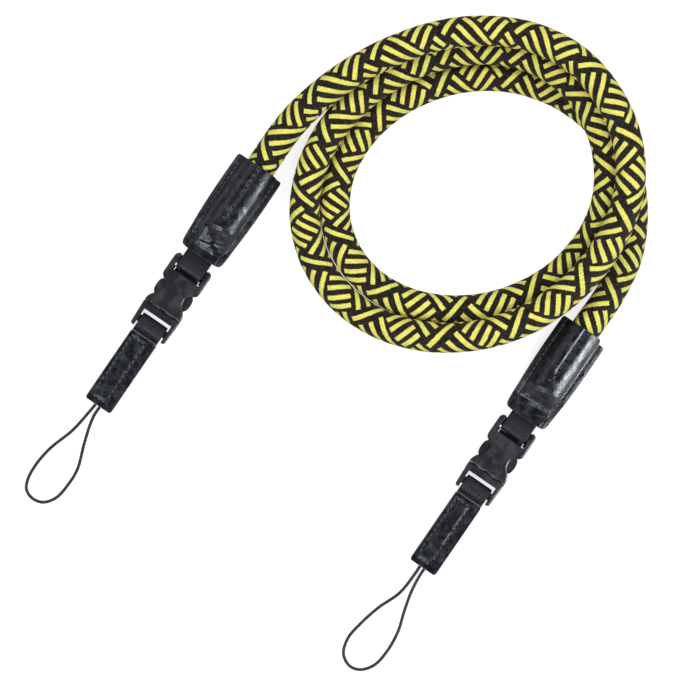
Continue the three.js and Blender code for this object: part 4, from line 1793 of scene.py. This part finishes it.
@dataclass(frozen=True)
class CordLoop:
    """The thin braided loop that ties to a camera, in millimetres from the tab's end."""

    diameter: float = 1.1
    tab_end: float = 99.5
    tuck: float = 4.0
    level: float = 2.1
    lying: float = 0.67
    spread: float = 0.85
    fall: float = 8.0
    spacing: float = 0.4
    faces_around: int = 14
    routes: dict[Side, tuple[tuple[float, float], ...]] = field(default_factory=lambda: {
        Side.LEFT: (
            (3.5, -1.2), (11.7, -2.3), (21.9, -5.3), (29.3, -6.1), (34.8, -5.5), (37.9, -3.9), (39.2, -0.7),
            (38.3, 3.2), (34.5, 6.1), (28, 7), (22, 6.6), (13.9, 3.7), (7.5, 1.7), (3.5, 0.9),
        ),
        Side.RIGHT: (
            (3.5, -0.8), (11.6, -1.4), (20.1, -4.6), (27.8, -6.5), (34.6, -7.3), (39.9, -5.6), (42.2, -1.7),
            (41.3, 2.2), (37.3, 5.4), (30.8, 6.4), (23.1, 5.7), (16.3, 3.6), (9.5, 1.8), (3.5, 1),
        ),
    })

    def build(self, frame: Matrix, side: Side, finishes: Finishes) -> bpy.types.Object:
        """Args:
            frame: the strap end's frame.
            side: the strap's end.
            finishes: the strap's materials.

        Returns:
            The loop's piece.
        """
        inside = [(-self.tuck, -self.spread, self.level), (0.0, -self.spread, self.level)]
        lying = [
            (along, across, mixed(self.level, self.lying, min(1.0, along / self.fall)))
            for along, across in self.routes[side]
        ]
        back = [(0.0, self.spread, self.level), (-self.tuck, self.spread, self.level)]
        points = [frame @ (MM * Vector((self.tab_end + x, y, z))) for x, y, z in (*inside, *lying, *back)]
        route = through_points(points, self.spacing * MM)
        plain = self.diameter / 2 * MM
        bench = round_tube(
            route, self.faces_around, lambda along, angle, middle: plain,
            lambda along, angles: (along / MM, angles * self.diameter / 2),
        )
        piece = finished(bench, f"braided_loop_{side.value}", [f"loop_cord_{side.value}"], Slot.CORD, [finishes.cord])
        return piece


@dataclass(frozen=True)
class StrapEnd:
    """Everything beyond the rope at one end of the strap, from the sleeve to the cord loop."""

    sleeve: LeatherSleeve = field(default_factory=LeatherSleeve)
    band: FoldedBand = field(default_factory=FoldedBand)
    buckle: SideReleaseBuckle = field(default_factory=SideReleaseBuckle)
    tab: StitchedTab = field(default_factory=StitchedTab)
    loop: CordLoop = field(default_factory=CordLoop)
    socket_bar: float = 43.5
    socket_bar_length: float = 3.4
    plug_bar: float = 65.0
    plug_bar_length: float = 2.6

    def build(self, frame: Matrix, side: Side, finishes: Finishes) -> None:
        """Builds one strap end.

        Args:
            frame: its frame.
            side: which end it is.
            finishes: the strap's materials.
        """
        self.sleeve.build(frame, side, finishes)
        self.buckle.build(frame, side, finishes)
        self.tab.build(frame, side, finishes)
        self.loop.build(frame, side, finishes)
        upper_tail = self.socket_bar - self.sleeve.length + self.sleeve.tail
        lower_tail = self.tab.start - self.plug_bar + self.tab.tail
        for word, at, turn, bar, tail in (
            ("upper", self.socket_bar, math.pi, self.socket_bar_length, upper_tail),
            ("lower", self.plug_bar, 0.0, self.plug_bar_length, lower_tail),
        ):
            place = frame @ Matrix.Translation(MM * Vector((at, 0, self.band.height))) @ Matrix.Rotation(turn, 4, "Z")
            finished(
                self.band.band(bar, tail), f"webbing_{word}_{side.value}", [f"{word}_band_{side.value}"],
                Slot.BAND, [finishes.webbing], sharp=60, frame=place,
            )


# ---- studio ----


@dataclass(frozen=True)
class Lamp:
    """A soft square lamp that faces the coil: its place and side in metres, and its power in watts.

    A mirrored lamp is there for gloss, and any other one for even light on matte surfaces.
    """

    name: str
    at: tuple[float, float, float]
    size: float
    power: float
    mirrored: bool
    tint: tuple[float, float, float] = (0.88, 0.94, 1.0)

    def hang(self) -> None:
        """Puts the lamp in the scene."""
        data = bpy.data.lights.new(self.name, "AREA")
        data.size, data.energy = self.size, self.power
        if self.mirrored:
            data.color = self.tint
        lamp = put_in_scene(self.name, data)
        lamp.location = self.at
        lamp.rotation_mode = "QUATERNION"
        lamp.rotation_quaternion = (-Vector(self.at)).to_track_quat("-Z", "Y")
        lamp.visible_glossy, lamp.visible_diffuse, lamp.visible_camera = self.mirrored, not self.mirrored, False


@dataclass(frozen=True)
class Studio:
    """White table, soft light and a camera straight above. The view's lengths are in millimetres."""

    view_centre: tuple[float, float] = (-9.014, -14.807)
    view_width: float = 234.48
    view_level: float = 6.0
    camera_height: float = 3000.0
    sensor: float = 36.0
    window: tuple[float, float] = (0.825, -0.565)
    wall_light: tuple[float, float] = (0.08, 0.58)
    ceiling_light: float = 0.10
    daylight: Colour = (0.92, 0.96, 1.0, 1.0)
    table_half: float = 3.0
    table_colour: Colour = (0.34, 0.34, 0.34, 1.0)
    table_glow: Colour = (0.80, 0.80, 0.80, 1.0)
    lamps: tuple[Lamp, ...] = (
        Lamp("window_softbox", (0.235, -0.140, 0.040), 0.12, 1.0, True),
        Lamp("left_softbox", (-0.62, 0.43, 0.50), 0.4, 0.8, True),
        Lamp("front_softbox", (-0.34, -0.46, 0.28), 0.25, 2.0, True),
        Lamp("left_fill", (-0.75, 0.55, 0.95), 0.9, 12.0, False),
        Lamp("right_fill", (0.75, 0.35, 0.95), 0.9, 11.5, False),
        Lamp("front_fill", (0.0, -0.85, 0.95), 0.9, 11.5, False),
    )

    def camera(self) -> None:
        """Hangs the camera over the table."""
        data = bpy.data.cameras.new("overhead")
        data.sensor_width = self.sensor
        data.lens = self.sensor * (self.camera_height - self.view_level) / self.view_width
        data.clip_start, data.clip_end = 0.1, 20.0
        camera = put_in_scene("overhead", data)
        camera.location = MM * Vector((*self.view_centre, self.camera_height))
        bpy.context.scene.camera = camera

    def table(self) -> None:
        """Lays the plain pale table top."""
        bench = bmesh.new()
        bmesh.ops.create_grid(bench, x_segments=1, y_segments=1, size=self.table_half)
        mesh = bpy.data.meshes.new("table_top")
        bench.to_mesh(mesh)
        bench.free()
        material, sketch, shader = new_surface("white_table", 0.9, Specular_IOR_Level=0.1)
        shader.inputs["Base Color"].default_value = self.table_colour
        shader.inputs["Emission Color"].default_value = self.table_glow
        sketch.feed(shader.inputs["Emission Strength"], sketch.node("ShaderNodeLightPath").outputs["Is Camera Ray"])
        mesh.materials.append(material)
        put_in_scene("table_top", mesh)

    def room(self) -> None:
        """Fills the room with light that is strongest from the window's side and low under the ceiling."""
        world = bpy.data.worlds.new("white_room")
        world.use_nodes = True
        sketch = Sketch(world.node_tree)
        x, y, height = sketch.split(sketch.node("ShaderNodeTexCoord").outputs["Generated"])
        toward = sketch.math("MULTIPLY_ADD", x, self.window[0], sketch.math("MULTIPLY", y, self.window[1]))
        wall = sketch.ease(toward, -0.6, 0.9, *self.wall_light)
        under = sketch.ease(height, 0.35, 0.85, 1.0, 0.0)
        above_ceiling = sketch.math("SUBTRACT", wall, self.ceiling_light)
        strength = sketch.math("MULTIPLY_ADD", under, above_ceiling, self.ceiling_light)
        backdrop = sketch.node("ShaderNodeBackground")
        backdrop.inputs["Color"].default_value = self.daylight
        sketch.feed(backdrop.inputs["Strength"], strength)
        sketch.tree.links.new(backdrop.outputs[0], sketch.node("ShaderNodeOutputWorld").inputs["Surface"])
        bpy.context.scene.world = world
        bpy.context.scene.view_settings.view_transform = "Standard"

    def build(self) -> None:
        """Sets up the whole studio."""
        self.camera()
        self.table()
        self.room()
        for lamp in self.lamps:
            lamp.hang()


def main() -> None:
    """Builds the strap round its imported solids."""
    logging.basicConfig(level=logging.INFO, format="%(name)s %(message)s")
    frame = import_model()
    LOG.info("frame holds %d solids", len(frame["nodes"]))
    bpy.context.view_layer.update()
    Studio().build()
    finishes = Finishes.prepared()
    rope = CoiledRope()
    rope.build(finishes)
    for side in Side:
        StrapEnd().build(rope.end_frame(side), side, finishes)


if __name__ == "__main__":
    main()
